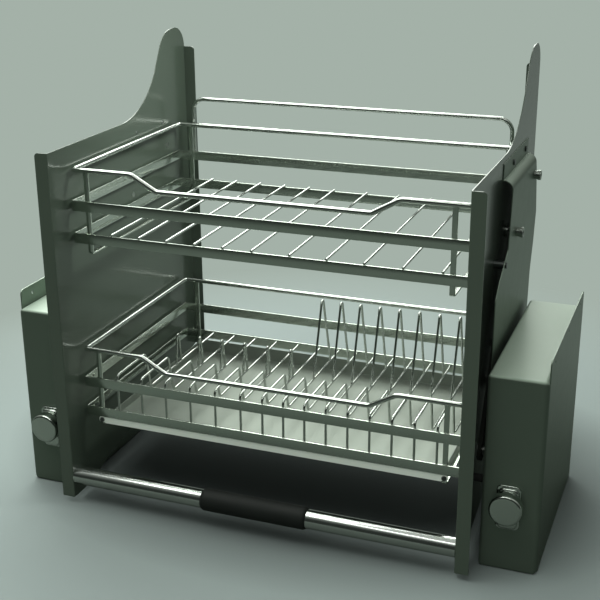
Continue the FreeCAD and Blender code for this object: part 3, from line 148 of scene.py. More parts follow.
class Finish:
    """A material under construction, with its principled shader."""

    def __init__(self, name):
        self.material = bpy.data.materials.new(name)
        self.material.use_nodes = True
        self.tree = self.material.node_tree
        self.shader = self.tree.nodes["Principled BSDF"]
        self.place = self.add("ShaderNodeTexCoord", {}, [], "Object")

    def add(self, kind, settings, values, output=0):
        """Adds a node: settings first, then its inputs by place or name. Returns one output."""
        node = self.tree.nodes.new(kind)
        for key, value in settings.items():
            if key == "stops":
                self.set_ramp(node.color_ramp, value)
            else:
                setattr(node, key, value)
        pairs = values.items() if isinstance(values, dict) else enumerate(values)
        for key, value in pairs:
            if isinstance(value, Field):
                self.tree.links.new(value.socket, node.inputs[key])
            else:
                node.inputs[key].default_value = value
        return Field(self, node.outputs[output])

    @staticmethod
    def set_ramp(ramp, stops):
        """Gives a colour ramp its stops: pairs of a place and a colour."""
        while len(ramp.elements) < len(stops):
            ramp.elements.new(1)
        for element, (where, colour) in zip(ramp.elements, stops):
            element.position = where
            element.color = (*colour, 1)

    def noise(self, scale, detail=3, stretch=None):
        """Cloudy pattern from 0 to 1. A stretch draws it out along an axis."""
        where = self.place
        if stretch:
            where = self.add("ShaderNodeMapping", {}, {"Vector": where, "Scale": stretch})
        values = {"Vector": where, "Scale": scale, "Detail": detail}
        return self.add("ShaderNodeTexNoise", {}, values)

    def blend(self, mask, low, high):
        """Colour between low and high."""
        return self.add("ShaderNodeValToRGB", {"stops": [(0, low), (1, high)]}, [mask])

    def mix(self, mask, low, high):
        """Colour between two colours that themselves vary over the surface."""
        colours = {0: mask, 6: low, 7: high}
        return self.add("ShaderNodeMix", {"data_type": "RGBA"}, colours, 2)

    def ramp(self, value, low, high):
        """0 below low, 1 above high, and an even rise between."""
        settings = {"clamp": True}
        return self.add("ShaderNodeMapRange", settings, [value, low, high, 0.0, 1.0])

    def axis(self, vector, name):
        """One coordinate of a vector."""
        return self.add("ShaderNodeSeparateXYZ", {}, [vector], name)

    def bump(self, height, strength, distance):
        """Small relief that only the light sees."""
        values = {"Height": height, "Strength": strength, "Distance": distance}
        return self.add("ShaderNodeBump", {}, values, "Normal")

    def set(self, **sockets):
        """Sets the principled shader's sockets; underscores stand for spaces."""
        for key, value in sockets.items():
            socket = self.shader.inputs[key.replace("_", " ")]
            if isinstance(value, Field):
                self.tree.links.new(value.socket, socket)
            else:
                socket.default_value = value
        return self


def shade(colour, factor):
    """The same colour, darker or lighter."""
    return tuple(min(channel * factor, 1) for channel in colour)


print("shader helpers ready")

# %% [markdown]
# Lacquer on sheet steel is a dark, slightly green grey. It is glossy enough to mirror the wires,
# with a faint orange peel and a faint cloudiness that only shows in the reflections. On the boxes
# and the brackets it is lacquer with fine metal flakes, and top light is painted into its colour:
# faces that look up are painted pale, and upright ones beside them stay dark. The finish takes that
# painted top light from the way a face looks.

# %% Lacquer
PAINTED_TOPLIGHT_FACING = (0.3, 0.95)


def lacquer(name, colour, roughness, coat, flakes_and_painted_toplight=0.0):
    """Sprayed lacquer. Flakes make it metallic and paint pale top light on faces that look up."""
    finish = Finish(name)
    clouds = finish.noise(5, 4)
    peel = finish.noise(620, 2)
    grain = finish.noise(60, 3)
    facing = finish.add("ShaderNodeTexCoord", {}, [], "Normal")
    # Painted top light: faces that look up are mixed towards a pale grey and lose most of their
    # metal.
    level = finish.ramp(finish.axis(facing, "Z"), *PAINTED_TOPLIGHT_FACING)
    upright = finish.blend(clouds, shade(colour, 0.9), shade(colour, 1.1))
    painted_toplight_grey = PAINTED_TOPLIGHT_GREY if flakes_and_painted_toplight else colour
    flat = finish.blend(clouds, shade(painted_toplight_grey, 0.95), shade(painted_toplight_grey, 1.05))
    return finish.set(
        Base_Color=finish.mix(level, upright, flat),
        Roughness=grain * 0.08 + (roughness - 0.04),
        Metallic=flakes_and_painted_toplight - level * flakes_and_painted_toplight * 0.85,
        Coat_Weight=coat,
        Coat_Roughness=0.12,
        Normal=finish.bump(peel, 0.06, 0.0002),
    ).material


PANEL_GREY = (0.066, 0.086, 0.067)
FLAKE_GREY = (0.180, 0.226, 0.184)
# Pale grey painted on faces that look up as painted top light, not the lacquer's own colour.
PAINTED_TOPLIGHT_GREY = (0.42, 0.51, 0.43)
ARM_GREY = (0.018, 0.021, 0.018)
FLAKES = 0.75
panel_lacquer = lacquer("panel_lacquer", PANEL_GREY, roughness=0.24, coat=0.35)
box_lacquer = lacquer("box_lacquer", FLAKE_GREY, roughness=0.46, coat=0.05, flakes_and_painted_toplight=FLAKES)
bracket_lacquer = lacquer("bracket_lacquer", FLAKE_GREY, roughness=0.42, coat=0.10, flakes_and_painted_toplight=FLAKES)
arm_lacquer = lacquer("arm_lacquer", ARM_GREY, roughness=0.40, coat=0.0)
print("lacquers made")

# %% [markdown]
# Chrome on drawn wire is nearly a mirror. Handling leaves it a little uneven, so the roughness
# wanders, and a very fine bump along the surface breaks up the highlights.

# %% Chrome


def chrome(name, colour, roughness):
    """Chromed metal with faint smears."""
    finish = Finish(name)
    smears = finish.noise(35, 4)
    drawn = finish.noise(400, 2)
    return finish.set(
        Base_Color=finish.blend(smears, shade(colour, 0.95), colour),
        Metallic=1.0,
        Roughness=smears * 0.08 + roughness,
        Normal=finish.bump(drawn, 0.03, 0.0002),
    ).material


wire_chrome = chrome("wire_chrome", (0.70, 0.73, 0.70), roughness=0.11)
bar_chrome = chrome("bar_chrome", (0.72, 0.77, 0.71), roughness=0.14)
tube_chrome = chrome("tube_chrome", (0.84, 0.86, 0.85), roughness=0.12)
knob_chrome = chrome("knob_chrome", (0.76, 0.80, 0.76), roughness=0.09)
print("chromes made")

# %% [markdown]
# Brushed and ground steel has fine scratches in one direction. The pattern is a noise that is
# stretched until it becomes lines, and it feeds both the roughness and the bump.

# %% Steel


def steel(name, colour, roughness, lines):
    """Bare steel. Its scratches run along the axis with the smallest number in lines."""
    finish = Finish(name)
    scratches = finish.noise(6, 3, lines)
    clouds = finish.noise(14, 3)
    pattern = scratches * 0.6 + clouds * 0.4
    return finish.set(
        Base_Color=finish.blend(pattern, shade(colour, 0.84), shade(colour, 1.08)),
        Metallic=1.0,
        Roughness=scratches * 0.14 + roughness,
        Normal=finish.bump(scratches, 0.05, 0.0003),
    ).material


def tray_finish():
    """Brushed steel whose rolled front lip is painted pale and made duller, as a painted sheen of
    reflected light.
    """
    finish = Finish("tray_steel")
    scratches = finish.noise(6, 3, SIDEWAYS_LINES)
    clouds = finish.noise(14, 3)
    lip = finish.ramp(finish.axis(finish.place, "Y"), LIP_BACK, LIP_FRONT)
    pattern = scratches * 0.6 + clouds * 0.4
    brushed = finish.blend(pattern, shade(TRAY_GREY, 0.84), shade(TRAY_GREY, 1.08))
    # Painted sheen: a pale, less metallic grey on the front lip stands in for the light it reflects.
    painted_sheen = finish.blend(pattern, shade(LIP_PAINTED_SHEEN_GREY, 0.94), shade(LIP_PAINTED_SHEEN_GREY, 1.04))
    return finish.set(
        Base_Color=finish.mix(lip, brushed, painted_sheen),
        Metallic=0.6 - lip * 0.55,
        Roughness=scratches * 0.14 + lip * 0.1 + 0.38,
        Normal=finish.bump(scratches, 0.05, 0.0003),
    ).material


SIDEWAYS_LINES = (4, 260, 260)
TRAY_GREY = (0.27, 0.30, 0.265)
# Pale grey painted on the lip as a painted sheen.
LIP_PAINTED_SHEEN_GREY = (0.82, 0.88, 0.81)
LIP_BACK = -0.1795
LIP_FRONT = -0.1807
tray_steel = tray_finish()
UPRIGHT_LINES = (260, 260, 4)
COARSE_LINES = (60, 60, 6)
ALL_ROUND = (40, 40, 40)
FINE_ALL_ROUND = (60, 60, 60)
bright_steel = steel("bright_steel", (0.66, 0.68, 0.66), 0.22, UPRIGHT_LINES)
dark_steel = steel("dark_steel", (0.17, 0.18, 0.18), 0.30, ALL_ROUND)
zinc_steel = steel("zinc_steel", (0.58, 0.60, 0.58), 0.34, COARSE_LINES)
bolt_steel = steel("bolt_steel", (0.42, 0.45, 0.42), 0.30, ALL_ROUND)
spring_steel = steel("spring_steel", (0.30, 0.31, 0.31), 0.28, FINE_ALL_ROUND)
print("steels made")

# %% [markdown]
# The grip is dense black foam with a closed skin: nearly black, dull, and full of tiny pores.
# Rubber and bearing plastic are plainer, but they too have a grain.

# %% Foam, rubber and plastic


def soft_finish(name, low, high, roughness, pore_scale, strength):
    """Dull soft material: a cloudy colour between low and high, and a grain of fine pores."""
    finish = Finish(name)
    cells = {"Vector": finish.place, "Scale": pore_scale}
    pores = finish.add("ShaderNodeTexVoronoi", {}, cells, "Distance")
    clouds = finish.noise(40, 4)
    return finish.set(
        Base_Color=finish.blend(clouds, low, high),
        Roughness=clouds * 0.12 + roughness,
        Normal=finish.bump(pores, strength, 0.0004),
    ).material


FOAM_BLACK = ((0.005, 0.006, 0.0055), (0.010, 0.012, 0.011))
RUBBER_BLACK = ((0.014, 0.014, 0.014), (0.026, 0.026, 0.026))
BUSH_CREAM = ((0.62, 0.60, 0.52), (0.70, 0.68, 0.60))
PLUG_GREY = ((0.030, 0.031, 0.031), (0.045, 0.046, 0.046))
grip_foam = soft_finish("grip_foam", *FOAM_BLACK, 0.62, pore_scale=900, strength=0.35)
buffer_rubber = soft_finish("buffer_rubber", *RUBBER_BLACK, 0.66, pore_scale=500, strength=0.2)
bush_plastic = soft_finish("bush_plastic", *BUSH_CREAM, 0.42, pore_scale=700, strength=0.05)
plug_plastic = soft_finish("plug_plastic", *PLUG_GREY, 0.45, pore_scale=600, strength=0.1)
print("soft finishes made")

# %% [markdown]
# Each material slot of the record gets one of these finishes.

# %% Finish of each slot
FINISHES = {
    "side_panel_paint": panel_lacquer,
    "bracket_paint": bracket_lacquer,
    "box_paint": box_lacquer,
    "wall_plate_zinc": bracket_lacquer,
    "chrome_wire": wire_chrome,
    "chrome_bar": bar_chrome,
    "tray_steel": tray_steel,
    "handle_chrome": tube_chrome,
    "grip_foam": grip_foam,
    "plug_plastic": plug_plastic,
    "screw_steel": dark_steel,
    "pivot_steel": bolt_steel,
    "spacer_steel": dark_steel,
    "arm_steel": arm_lacquer,
    "shaft_steel": bright_steel,
    "bush_plastic": bush_plastic,
    "bearing_plate_zinc": zinc_steel,
    "buffer_rubber": buffer_rubber,
    "plaque_chrome": knob_chrome,
    "knob_chrome": knob_chrome,
    "gear_steel": bright_steel,
    "spring_steel": spring_steel,
    "thread_steel": bright_steel,
}
slot_of = {part["node"]: part["material_slot"] for part in frame["record"]["subparts"]}
bodies = frame["record"]["behaviour"]["bodies"]
body_of = {node: body for body, members in bodies.items() for node in members}
for node, piece in nodes.items():
    piece.data.materials.clear()
    piece.data.materials.append(FINISHES[slot_of[node]])
print(len(FINISHES), "slots finished")

# %% [markdown]
# Every new piece is handed over in the same way: it gets its finish, rides on the body of the node
# that it stands for, and hides that node.

# %% Handing a piece over


def smooth_by_angle(mesh, degrees=35):
    """Smooth shading, with hard edges where faces meet more sharply than the angle."""
    build = bmesh.new()
    build.from_mesh(mesh)
    for face in build.faces:
        face.smooth = True
    limit = math.radians(degrees)
    for edge in build.edges:
        edge.smooth = len(edge.link_faces) == 2 and edge.calc_face_angle(0) < limit
    build.to_mesh(mesh)
    build.free()


def hand_over(name, mesh, node, finish=None, angle=35, weighted=False):
    """Makes the object, shades it and lets it stand for the node."""
    smooth_by_angle(mesh, angle)
    mesh.materials.clear()
    mesh.materials.append(finish or FINISHES[slot_of[node]])
    piece = bpy.data.objects.new(name, mesh)
    bpy.context.scene.collection.objects.link(piece)
    if weighted:
        weights = piece.modifiers.new("flat_faces_stay_flat", "WEIGHTED_NORMAL")
        weights.keep_sharp = True
        weights.weight = 100
    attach(piece, body_of[node])
    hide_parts(node)
    return piece


def mesh_of(name, build):
    """Turns a bmesh into a mesh, with its faces looking outwards."""
    mesh = bpy.data.meshes.new(name)
    bmesh.ops.recalc_face_normals(build, faces=build.faces)
    build.to_mesh(mesh)
    build.free()
    return mesh


# %% [markdown]
# Pressed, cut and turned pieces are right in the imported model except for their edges: no real edge
# is a knife. A copy of the node's mesh is cleaned, and its sharp edges get a small rounded bevel,
# which catches the light as a thin line. A Weighted Normal modifier keeps the wide faces flat
# beside their new bevels: without it, smooth shading would spread each bevel's bend over the whole
# face.

# %% Soft-edged copies


def soft_edged(node, width, segments=2, angle=30):
    """Copy of a node's mesh with its sharp edges rounded."""
    build = bmesh.new()
    build.from_mesh(nodes[node].data)
    bmesh.ops.remove_doubles(build, verts=build.verts, dist=1e-6)
    bmesh.ops.dissolve_limit(
        build, angle_limit=math.radians(1), verts=build.verts, edges=build.edges
    )
    limit = math.radians(angle)
    shared = [edge for edge in build.edges if len(edge.link_faces) == 2]
    sharp = [edge for edge in shared if edge.calc_face_angle(0) > limit]
    bmesh.ops.bevel(
        build, geom=sharp, offset=width * MM, offset_type="OFFSET", segments=segments,
        profile=0.5, affect="EDGES", clamp_overlap=True, loop_slide=True,
    )
    return mesh_of(node + "_soft", build)


SOFT_EDGES = {
    "side_panel": 0.35,
    "pivot_bracket": 0.35,
    "box_cover": 0.3,
    "wall_plate": 0.4,
    "front_arm": 0.6,
    "rear_arm": 0.6,
    "front_shaft": 0.4,
    "rear_shaft": 0.4,
    "bearing_plate": 0.4,
    "carriage": 0.4,
    "pinion": 0.15,
    "spring_rack": 0.15,
}
for side in ("right", "left"):
    for kind, width in SOFT_EDGES.items():
        node = "%s_%s" % (side, kind)
        hand_over(node + "_finished", soft_edged(node, width), node, angle=50, weighted=True)
SINGLE_SOFT_EDGES = {
    "pivot_fasteners": 0.5,
    "bracket_spacers": 0.3,
    "bracket_screws": 0.5,
    "basket_screws": 0.5,
    "cover_screws": 0.3,
    "tray_screws": 0.6,
    "plate_pillars": 0.4,
    "arm_buffers": 0.8,
    "screw_supports": 0.5,
    "shaft_bushes": 0.4,
    "handle_fasteners": 0.4,
}
for node, width in SINGLE_SOFT_EDGES.items():
    hand_over(node + "_finished", soft_edged(node, width), node, angle=50, weighted=True)
print("soft-edged copies made")

# %% [markdown]
# Wires, rails and flat bars are all one thing to a maker: a section that runs along a bent path.
# The path is straight runs joined by tangent arcs, and the section is carried along it without
# twisting.

# %% Sections along bent paths


def bent(points, bends, steps=7, closed=False):
    """Points along straight runs with each corner rounded to its own radius."""
    count = len(points)
    path = []
    for index, corner in enumerate(points):
        if not closed and index in (0, count - 1):
            path.append(corner.copy())
            continue
        before = points[index - 1]
        after = points[(index + 1) % count]
        inward = (corner - before).normalized()
        outward = (after - corner).normalized()
        turn = inward.angle(outward)
        radius = bends[index] * MM if closed else bends[index - 1] * MM
        reach = radius * math.tan(turn / 2)
        centre = corner + (outward - inward).normalized() * radius / math.cos(turn / 2)
        start = corner - inward * reach - centre
        swing = Quaternion(inward.cross(outward).normalized(), turn / steps)
        spot = start
        for step in range(steps + 1):
            path.append(centre + spot)
            spot = swing @ spot
    return path


def round_section(radius, sides=14):
    """Section of a round wire."""
    angles = [2 * math.pi * side / sides for side in range(sides)]
    return [(radius * MM * math.cos(angle), radius * MM * math.sin(angle)) for angle in angles]


def flat_section(thick, tall, edge, steps=3):
    """Rectangle with rounded corners, thick across the path's first normal."""
    spots = []
    for corner in range(4):
        across = (thick / 2 - edge) * (1 if corner in (0, 3) else -1)
        up = (tall / 2 - edge) * (1 if corner in (0, 1) else -1)
        for step in range(steps + 1):
            angle = math.pi / 2 * (corner + step / steps)
            u = across + edge * math.cos(angle)
            v = up + edge * math.sin(angle)
            spots.append((u * MM, v * MM))
    return spots


def skin(build, first, second):
    """Faces between two rings of equally many vertices."""
    for index in range(len(first)):
        other = (index + 1) % len(first)
        build.faces.new((first[index], first[other], second[other], second[index]))


def sweep(build, path, section, normal, closed=False, dome=0.0):
    """Carries the section along the path. A dome rounds the two ends outwards."""
    count = len(path)
    rings = []
    heading = None
    side = normal.normalized()
    for index, spot in enumerate(path):
        after = path[(index + 1) % count] if closed or index < count - 1 else spot
        before = path[index - 1] if closed or index > 0 else spot
        way = (after - before).normalized()
        if heading is not None:
            side = heading.rotation_difference(way) @ side
        side = (side - way * side.dot(way)).normalized()
        heading = way
        up = way.cross(side)
        rings.append([build.verts.new(spot + side * u + up * v) for u, v in section])
    pairs = list(zip(rings, rings[1:]))
    if closed:
        pairs.append((rings[-1], rings[0]))
    for first, second in pairs:
        skin(build, first, second)
    if closed:
        return
    size = max(math.hypot(u, v) for u, v in section)
    start = (rings[0], path[0], path[0] - path[1])
    end = (rings[-1], path[-1], path[-1] - path[-2])
    for ring, spot, way in (start, end):
        if dome:
            small = []
            for vertex in ring:
                inner = spot + (vertex.co - spot) * 0.6
                small.append(build.verts.new(inner + way.normalized() * size * dome))
            skin(build, ring, small)
            ring = small
        build.faces.new(ring)


def bent_wire(build, spots, bends, radius, normal, dome=0.0):
    """Round wire through places in the rack's millimetres."""
    points = [at(*spot) for spot in spots]
    sweep(build, bent(points, bends), round_section(radius), normal, dome=dome)


X_AXIS = Vector((1, 0, 0))
Y_AXIS = Vector((0, 1, 0))
Z_AXIS = Vector((0, 0, 1))
print("sweep helpers ready")

# %% [markdown]
# The basket sizes below are the rack's own: where the front and back of a basket lie, how high its
# flat bars and its rail are, and how thick the wire is.

# %% Basket sizes
BASKET_FRONT = 50.0
BASKET_BACK = 423.0
BAND_HALF = 316.0
BAND_THICK = 2.5
BAND_TALL = 16.5
BAND_ROUND = 3.0
BAND_LOWS = {"upper": (426.1, 478.0), "lower": (129.7, 181.6)}
RAIL_HIGHS = {"upper": 542.5, "lower": 245.8}
RAIL_RADIUS = 4.0
RAIL_HALF = 312.0
RAIL_CORNER = 6.0
DIP_OUTER = 211.0
DIP_INNER = 169.0
DIP_DROP = 23.5
DIP_BEND = 16.0
STRAP_X = 288.0
WIRE = 2.0
WIRE_DOME = 0.3

# %% [markdown]
# Each basket's rail is one closed loop of thick wire. Its front run dips between two shoulders, so
# that what stands in it lifts out more easily.

# %% Rails


def rail(level):
    """The loop of thick wire round the top of a basket."""
    high = RAIL_HIGHS[level]
    low = high - DIP_DROP
    front = BASKET_FRONT + RAIL_RADIUS
    back = BASKET_BACK - RAIL_RADIUS
    corners = [
        (-DIP_INNER, front, low),
        (DIP_INNER, front, low),
        (DIP_OUTER, front, high),
        (RAIL_HALF, front, high),
        (RAIL_HALF, back, high),
        (-RAIL_HALF, back, high),
        (-RAIL_HALF, front, high),
        (-DIP_OUTER, front, high),
    ]
    bends = [DIP_BEND] * 3 + [RAIL_CORNER] * 4 + [DIP_BEND]
    path = bent([at(*corner) for corner in corners], bends, closed=True)
    build = bmesh.new()
    sweep(build, path, round_section(RAIL_RADIUS, 20), Y_AXIS, closed=True)
    return mesh_of(level + "_rail", build)


for level in ("upper", "lower"):
    hand_over(level + "_rail", rail(level), level + "_rim")
print("rails made")

# %% [markdown]
# The flat bars are bent on edge into two loops for each basket. Their corners are softly rounded
# and their long edges are eased, so the top edge shows as a bright line.

# %% Flat bars


def flat_bars(level):
    """The two loops of flat bar round a basket."""
    build = bmesh.new()
    half = BAND_HALF - BAND_THICK / 2
    front = BASKET_FRONT + BAND_THICK / 2
    back = BASKET_BACK - BAND_THICK / 2
    for low in BAND_LOWS[level]:
        middle = low + BAND_TALL / 2
        corners = [
            (-half, front, middle),
            (half, front, middle),
            (half, back, middle),
            (-half, back, middle),
        ]
        bends = [BAND_ROUND - BAND_THICK / 2] * 4
        path = bent([at(*corner) for corner in corners], bends, closed=True)
        sweep(build, path, flat_section(BAND_THICK, BAND_TALL, 0.6), X_AXIS, closed=True)
    return mesh_of(level + "_flat_bars", build)


for level in ("upper", "lower"):
    hand_over(level + "_flat_bars", flat_bars(level), level + "_bands")
print("flat bars made")

# %% [markdown]
# Two flat straps hold each basket together. Each one hangs from the rail, runs down behind the
# flat bars, turns under the basket and comes up again at the back.

# %% Straps
STRAP_WIDE = 8.0
STRAP_THICK = 3.0
STRAP_DROP = 17.0
STRAP_BEND = 3.5
STRAP_WELD = 0.2


def basket_straps(level):
    """The two flat straps that pass under a basket."""
    build = bmesh.new()
    low = BAND_LOWS[level][0] - STRAP_DROP + STRAP_THICK / 2
    high = RAIL_HIGHS[level] - RAIL_RADIUS + STRAP_WELD
    front = BASKET_FRONT + BAND_THICK + STRAP_THICK / 2
    back = BASKET_BACK - BAND_THICK - STRAP_THICK / 2
    for x in (-STRAP_X, STRAP_X):
        corners = [(x, front, high), (x, front, low), (x, back, low), (x, back, high)]
        path = bent([at(*corner) for corner in corners], [STRAP_BEND] * 2)
        sweep(build, path, flat_section(STRAP_THICK, STRAP_WIDE, 0.5), Y_AXIS)
    return mesh_of(level + "_basket_straps", build)


for level in ("upper", "lower"):
    hand_over(level + "_basket_straps", basket_straps(level), level + "_straps")
print("straps made")

# %% [markdown]
# The upper basket's floor is a row of straight wires that lie on the lower flat bar. They stand in
# two groups with different pitches, and each end is slightly domed where it was cropped.

# %% Upper floor wires
FLOOR_LEFT = (-249.0, 46.8, 6)
FLOOR_RIGHT = (45.0, 57.3, 5)
FLOOR_SHORT = 0.6


def row(first, pitch, count):
    """Evenly spaced places across the rack."""
    return [first + pitch * index for index in range(count)]


floor_low, floor_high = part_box("upper_floor_wires")
build = bmesh.new()
wire_height = (floor_low.z - BASE) / MM + WIRE
floor_ends = (BASKET_FRONT + FLOOR_SHORT, BASKET_BACK - FLOOR_SHORT)
for x in row(*FLOOR_LEFT) + row(*FLOOR_RIGHT):
    ends = [(x, y, wire_height) for y in floor_ends]
    bent_wire(build, ends, [], WIRE, X_AXIS, dome=WIRE_DOME)
hand_over("upper_floor", mesh_of("upper_floor", build), "upper_floor_wires")
print("upper floor made")

# %% [markdown]
# The lower basket's floor is a row of stepped wires. Each one is bent from one length: it stands
# behind the flat bars, runs back along the top, slants down and lies along the floor.

# %% Stepped wires
STEPPED_LEFT = row(-256.9, 43.3, 6)
STEPPED_RIGHT = row(-3.6, 34.8, 9)
STEPPED_FLOOR = 142.2
STEPPED_TOP = 207.0
STEPPED_SHELF = 150.0
STEPPED_SLANT = 13.5
STEPPED_FOOT = 138.0
STEPPED_BEND = 8.0
STEPPED_WELD = 0.2

build = bmesh.new()
front = BASKET_FRONT + BAND_THICK + WIRE - STEPPED_WELD
for x in STEPPED_LEFT + STEPPED_RIGHT:
    spots = [
        (x, front, STEPPED_FOOT),
        (x, front, STEPPED_TOP),
        (x, STEPPED_SHELF, STEPPED_TOP),
        (x, STEPPED_SHELF + STEPPED_SLANT, STEPPED_FLOOR),
        (x, BASKET_BACK - BAND_THICK, STEPPED_FLOOR),
    ]
    bent_wire(build, spots, [STEPPED_BEND] * 3, WIRE, X_AXIS, dome=WIRE_DOME)
hand_over("plate_wires", mesh_of("plate_wires", build), "plate_rack_wires")
print("stepped wires made")

# %% [markdown]
# Towards the back of each right-hand stepped wire stands a tall hairpin, and on each left-hand one
# a low hairpin. Both are one wire bent to a narrow peak.

# %% Tines
TINE_FOOT = STEPPED_FLOOR + WIRE
TALL_TINE = {"start": 285.0, "peak": 331.0, "foot": 372.0, "high": 283.0, "bend": 5.0}
LOW_TINE = {"start": 263.0, "peak": 272.0, "foot": 281.0, "high": 217.5, "bend": 3.0}


def hairpin(build, x, start, peak, foot, high, bend):
    """Wire that rises from start to a narrow peak and comes down to foot, all in one plane."""
    spots = [(x, start, TINE_FOOT), (x, peak, high), (x, foot, TINE_FOOT)]
    bent_wire(build, spots, [bend], WIRE, X_AXIS, dome=WIRE_DOME)


build = bmesh.new()
for x in STEPPED_RIGHT:
    hairpin(build, x, **TALL_TINE)
for x in STEPPED_LEFT:
    hairpin(build, x, **LOW_TINE)
hand_over("hairpin_tines", mesh_of("hairpin_tines", build), "plate_tines")
print("tines made")

# %% [markdown]
# The hoop behind the upper basket keeps tall things from falling into the cupboard.

# %% Rear hoop
build = bmesh.new()
HOOP_HALF = 289.0
HOOP_BACK = 435.0
HOOP_FOOT = BAND_LOWS["upper"][1] + BAND_TALL / 2
HOOP_TOP = 587.0
HOOP_BENDS = [8.0, 22.0, 22.0, 8.0]
HOOP_RADIUS = 3.5
hoop_spots = [
    (HOOP_HALF, BASKET_BACK, HOOP_FOOT),
    (HOOP_HALF, HOOP_BACK, HOOP_FOOT),
    (HOOP_HALF, HOOP_BACK, HOOP_TOP),
    (-HOOP_HALF, HOOP_BACK, HOOP_TOP),
    (-HOOP_HALF, HOOP_BACK, HOOP_FOOT),
    (-HOOP_HALF, BASKET_BACK, HOOP_FOOT),
]
points = [at(*spot) for spot in hoop_spots]
sweep(build, bent(points, HOOP_BENDS, 9), round_section(HOOP_RADIUS, 18), X_AXIS)
hand_over("rear_guard_hoop", mesh_of("rear_guard_hoop", build), "rear_hoop")
print("hoop made")

# %% [markdown]
# Turned pieces are a profile that is spun round an axis: the pull bar, its foam grip and the knobs.

# %% Turned pieces


def spin(build, profile, centre, way, side, sides=48):
    """Spins a profile of (distance along, radius) round an axis through centre."""
    up = way.cross(side)
    rings = []
    for along, radius in profile:
        ring = []
        for index in range(sides):
            angle = 2 * math.pi * index / sides
            out = side * math.cos(angle) + up * math.sin(angle)
            ring.append(build.verts.new(centre + way * along * MM + out * radius * MM))
        rings.append(ring)
    for first, second in zip(rings, rings[1:]):
        skin(build, first, second)
    build.faces.new(rings[0])
    build.faces.new(rings[-1])


def eased(corners, edge, steps=3):
    """Profile through the corners with each inner corner rounded by the edge radius."""
    profile = [corners[0]]
    for before, corner, after in zip(corners, corners[1:], corners[2:]):
        here = Vector(corner)
        inward = (here - Vector(before))
        outward = (Vector(after) - here)
        reach = min(edge, inward.length * 0.45, outward.length * 0.45)
        start = here - inward.normalized() * reach
        end = here + outward.normalized() * reach
        for step in range(steps + 1):
            share = step / steps
            spot = start.lerp(here, share).lerp(here.lerp(end, share), share)
            profile.append(tuple(spot))
    profile.append(corners[-1])
    return profile


BAR_RADIUS = 15.0
BAR_BORE = 13.5
BAR_DEPTH = 14.0
BAR_HEIGHT = 35.0
GRIP_RADIUS = 18.0
GRIP_GAP = 0.1
GRIP_SHOULDER = 2.6
GRIP_SUNK = 0.15
GRIP_WAVE = 0.12
GRIP_WAVE_TURN = 17.0
GRIP_STEPS = 40
bar_low, bar_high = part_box("handle_tube")
bar_long = (bar_high.x - bar_low.x) / MM
build = bmesh.new()
bar_corners = [(0, BAR_BORE), (0, BAR_RADIUS), (bar_long, BAR_RADIUS), (bar_long, BAR_BORE)]
spin(build, eased(bar_corners, 0.5), at(-bar_long / 2, BAR_DEPTH, BAR_HEIGHT), X_AXIS, Y_AXIS)
hand_over("pull_bar", mesh_of("pull_bar", build), "handle_tube")

grip_low, grip_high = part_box("handle_grip")
grip_start = grip_low.x / MM
grip_long = (grip_high.x - grip_low.x) / MM
build = bmesh.new()
profile = [(0, BAR_RADIUS + GRIP_GAP)]
for step in range(GRIP_STEPS + 1):
    share = step / GRIP_STEPS
    along = share * grip_long
    from_end = min(along, grip_long - along)
    drop = max(0.0, GRIP_SHOULDER - from_end)
    shoulder = GRIP_SHOULDER - math.sqrt(max(GRIP_SHOULDER ** 2 - drop ** 2, 0))
    wave = GRIP_WAVE * math.sin(share * GRIP_WAVE_TURN) * math.sin(share * math.pi)
    profile.append((along, GRIP_RADIUS - GRIP_SUNK - shoulder + wave))
profile.append((grip_long, BAR_RADIUS + GRIP_GAP))
spin(build, profile, at(grip_start, BAR_DEPTH, BAR_HEIGHT), X_AXIS, Y_AXIS, sides=64)
hand_over("foam_grip", mesh_of("foam_grip", build), "handle_grip", angle=60)
print("pull bar", round(bar_long), "mm, grip", round(grip_long), "mm")

# %% [markdown]
# A knob is a thick chromed disc with softly rounded rims on a short neck. It turns the adjusting
# screw, so it rides on the same body.

# %% Knobs
WORKS_X = 385.0
KNOB_HEIGHT = 103.0
KNOB_FRONT = 22.0
KNOB_ROUND = 5.0
KNOB_PROFILE = [
    (0.0, 0.01), (0.0, 24.5), (20.0, 24.5), (20.0, 9.0), (20.9, 7.0), (30.9, 6.9), (30.9, 4.1),
]
for side, sign in (("right", 1), ("left", -1)):
    build = bmesh.new()
    knob_face = at(WORKS_X * sign, KNOB_FRONT, KNOB_HEIGHT)
    knob_profile = eased(KNOB_PROFILE, KNOB_ROUND, steps=10)
    spin(build, knob_profile, knob_face, Y_AXIS, X_AXIS, sides=64)
    hand_over(side + "_tension_knob", mesh_of("knob", build), side + "_knob")
print("knobs made")

# %% [markdown]
# Behind each knob sits a cast chromed plaque: a thin plate with a raised, softly domed middle. Both
# steps have generously rounded front edges, which catch the light as broad pale lines.

# %% Knob plaques
PLAQUE_HALF = (18.0, 36.0)
PLAQUE_CORNER = 8.0
PLAQUE_BACK = 51.0
PLAQUE_FACE = 47.0
BOSS_FACE = 43.0
BOSS_INSET = 3.0
PLAQUE_HOLE = 7.3
PLAQUE_MIDDLE = 96.0
PLAQUE_ROUND = 1.5
BOSS_ROUND = 3.5
RIM_STEPS = 6
CORNER_STEPS = 8


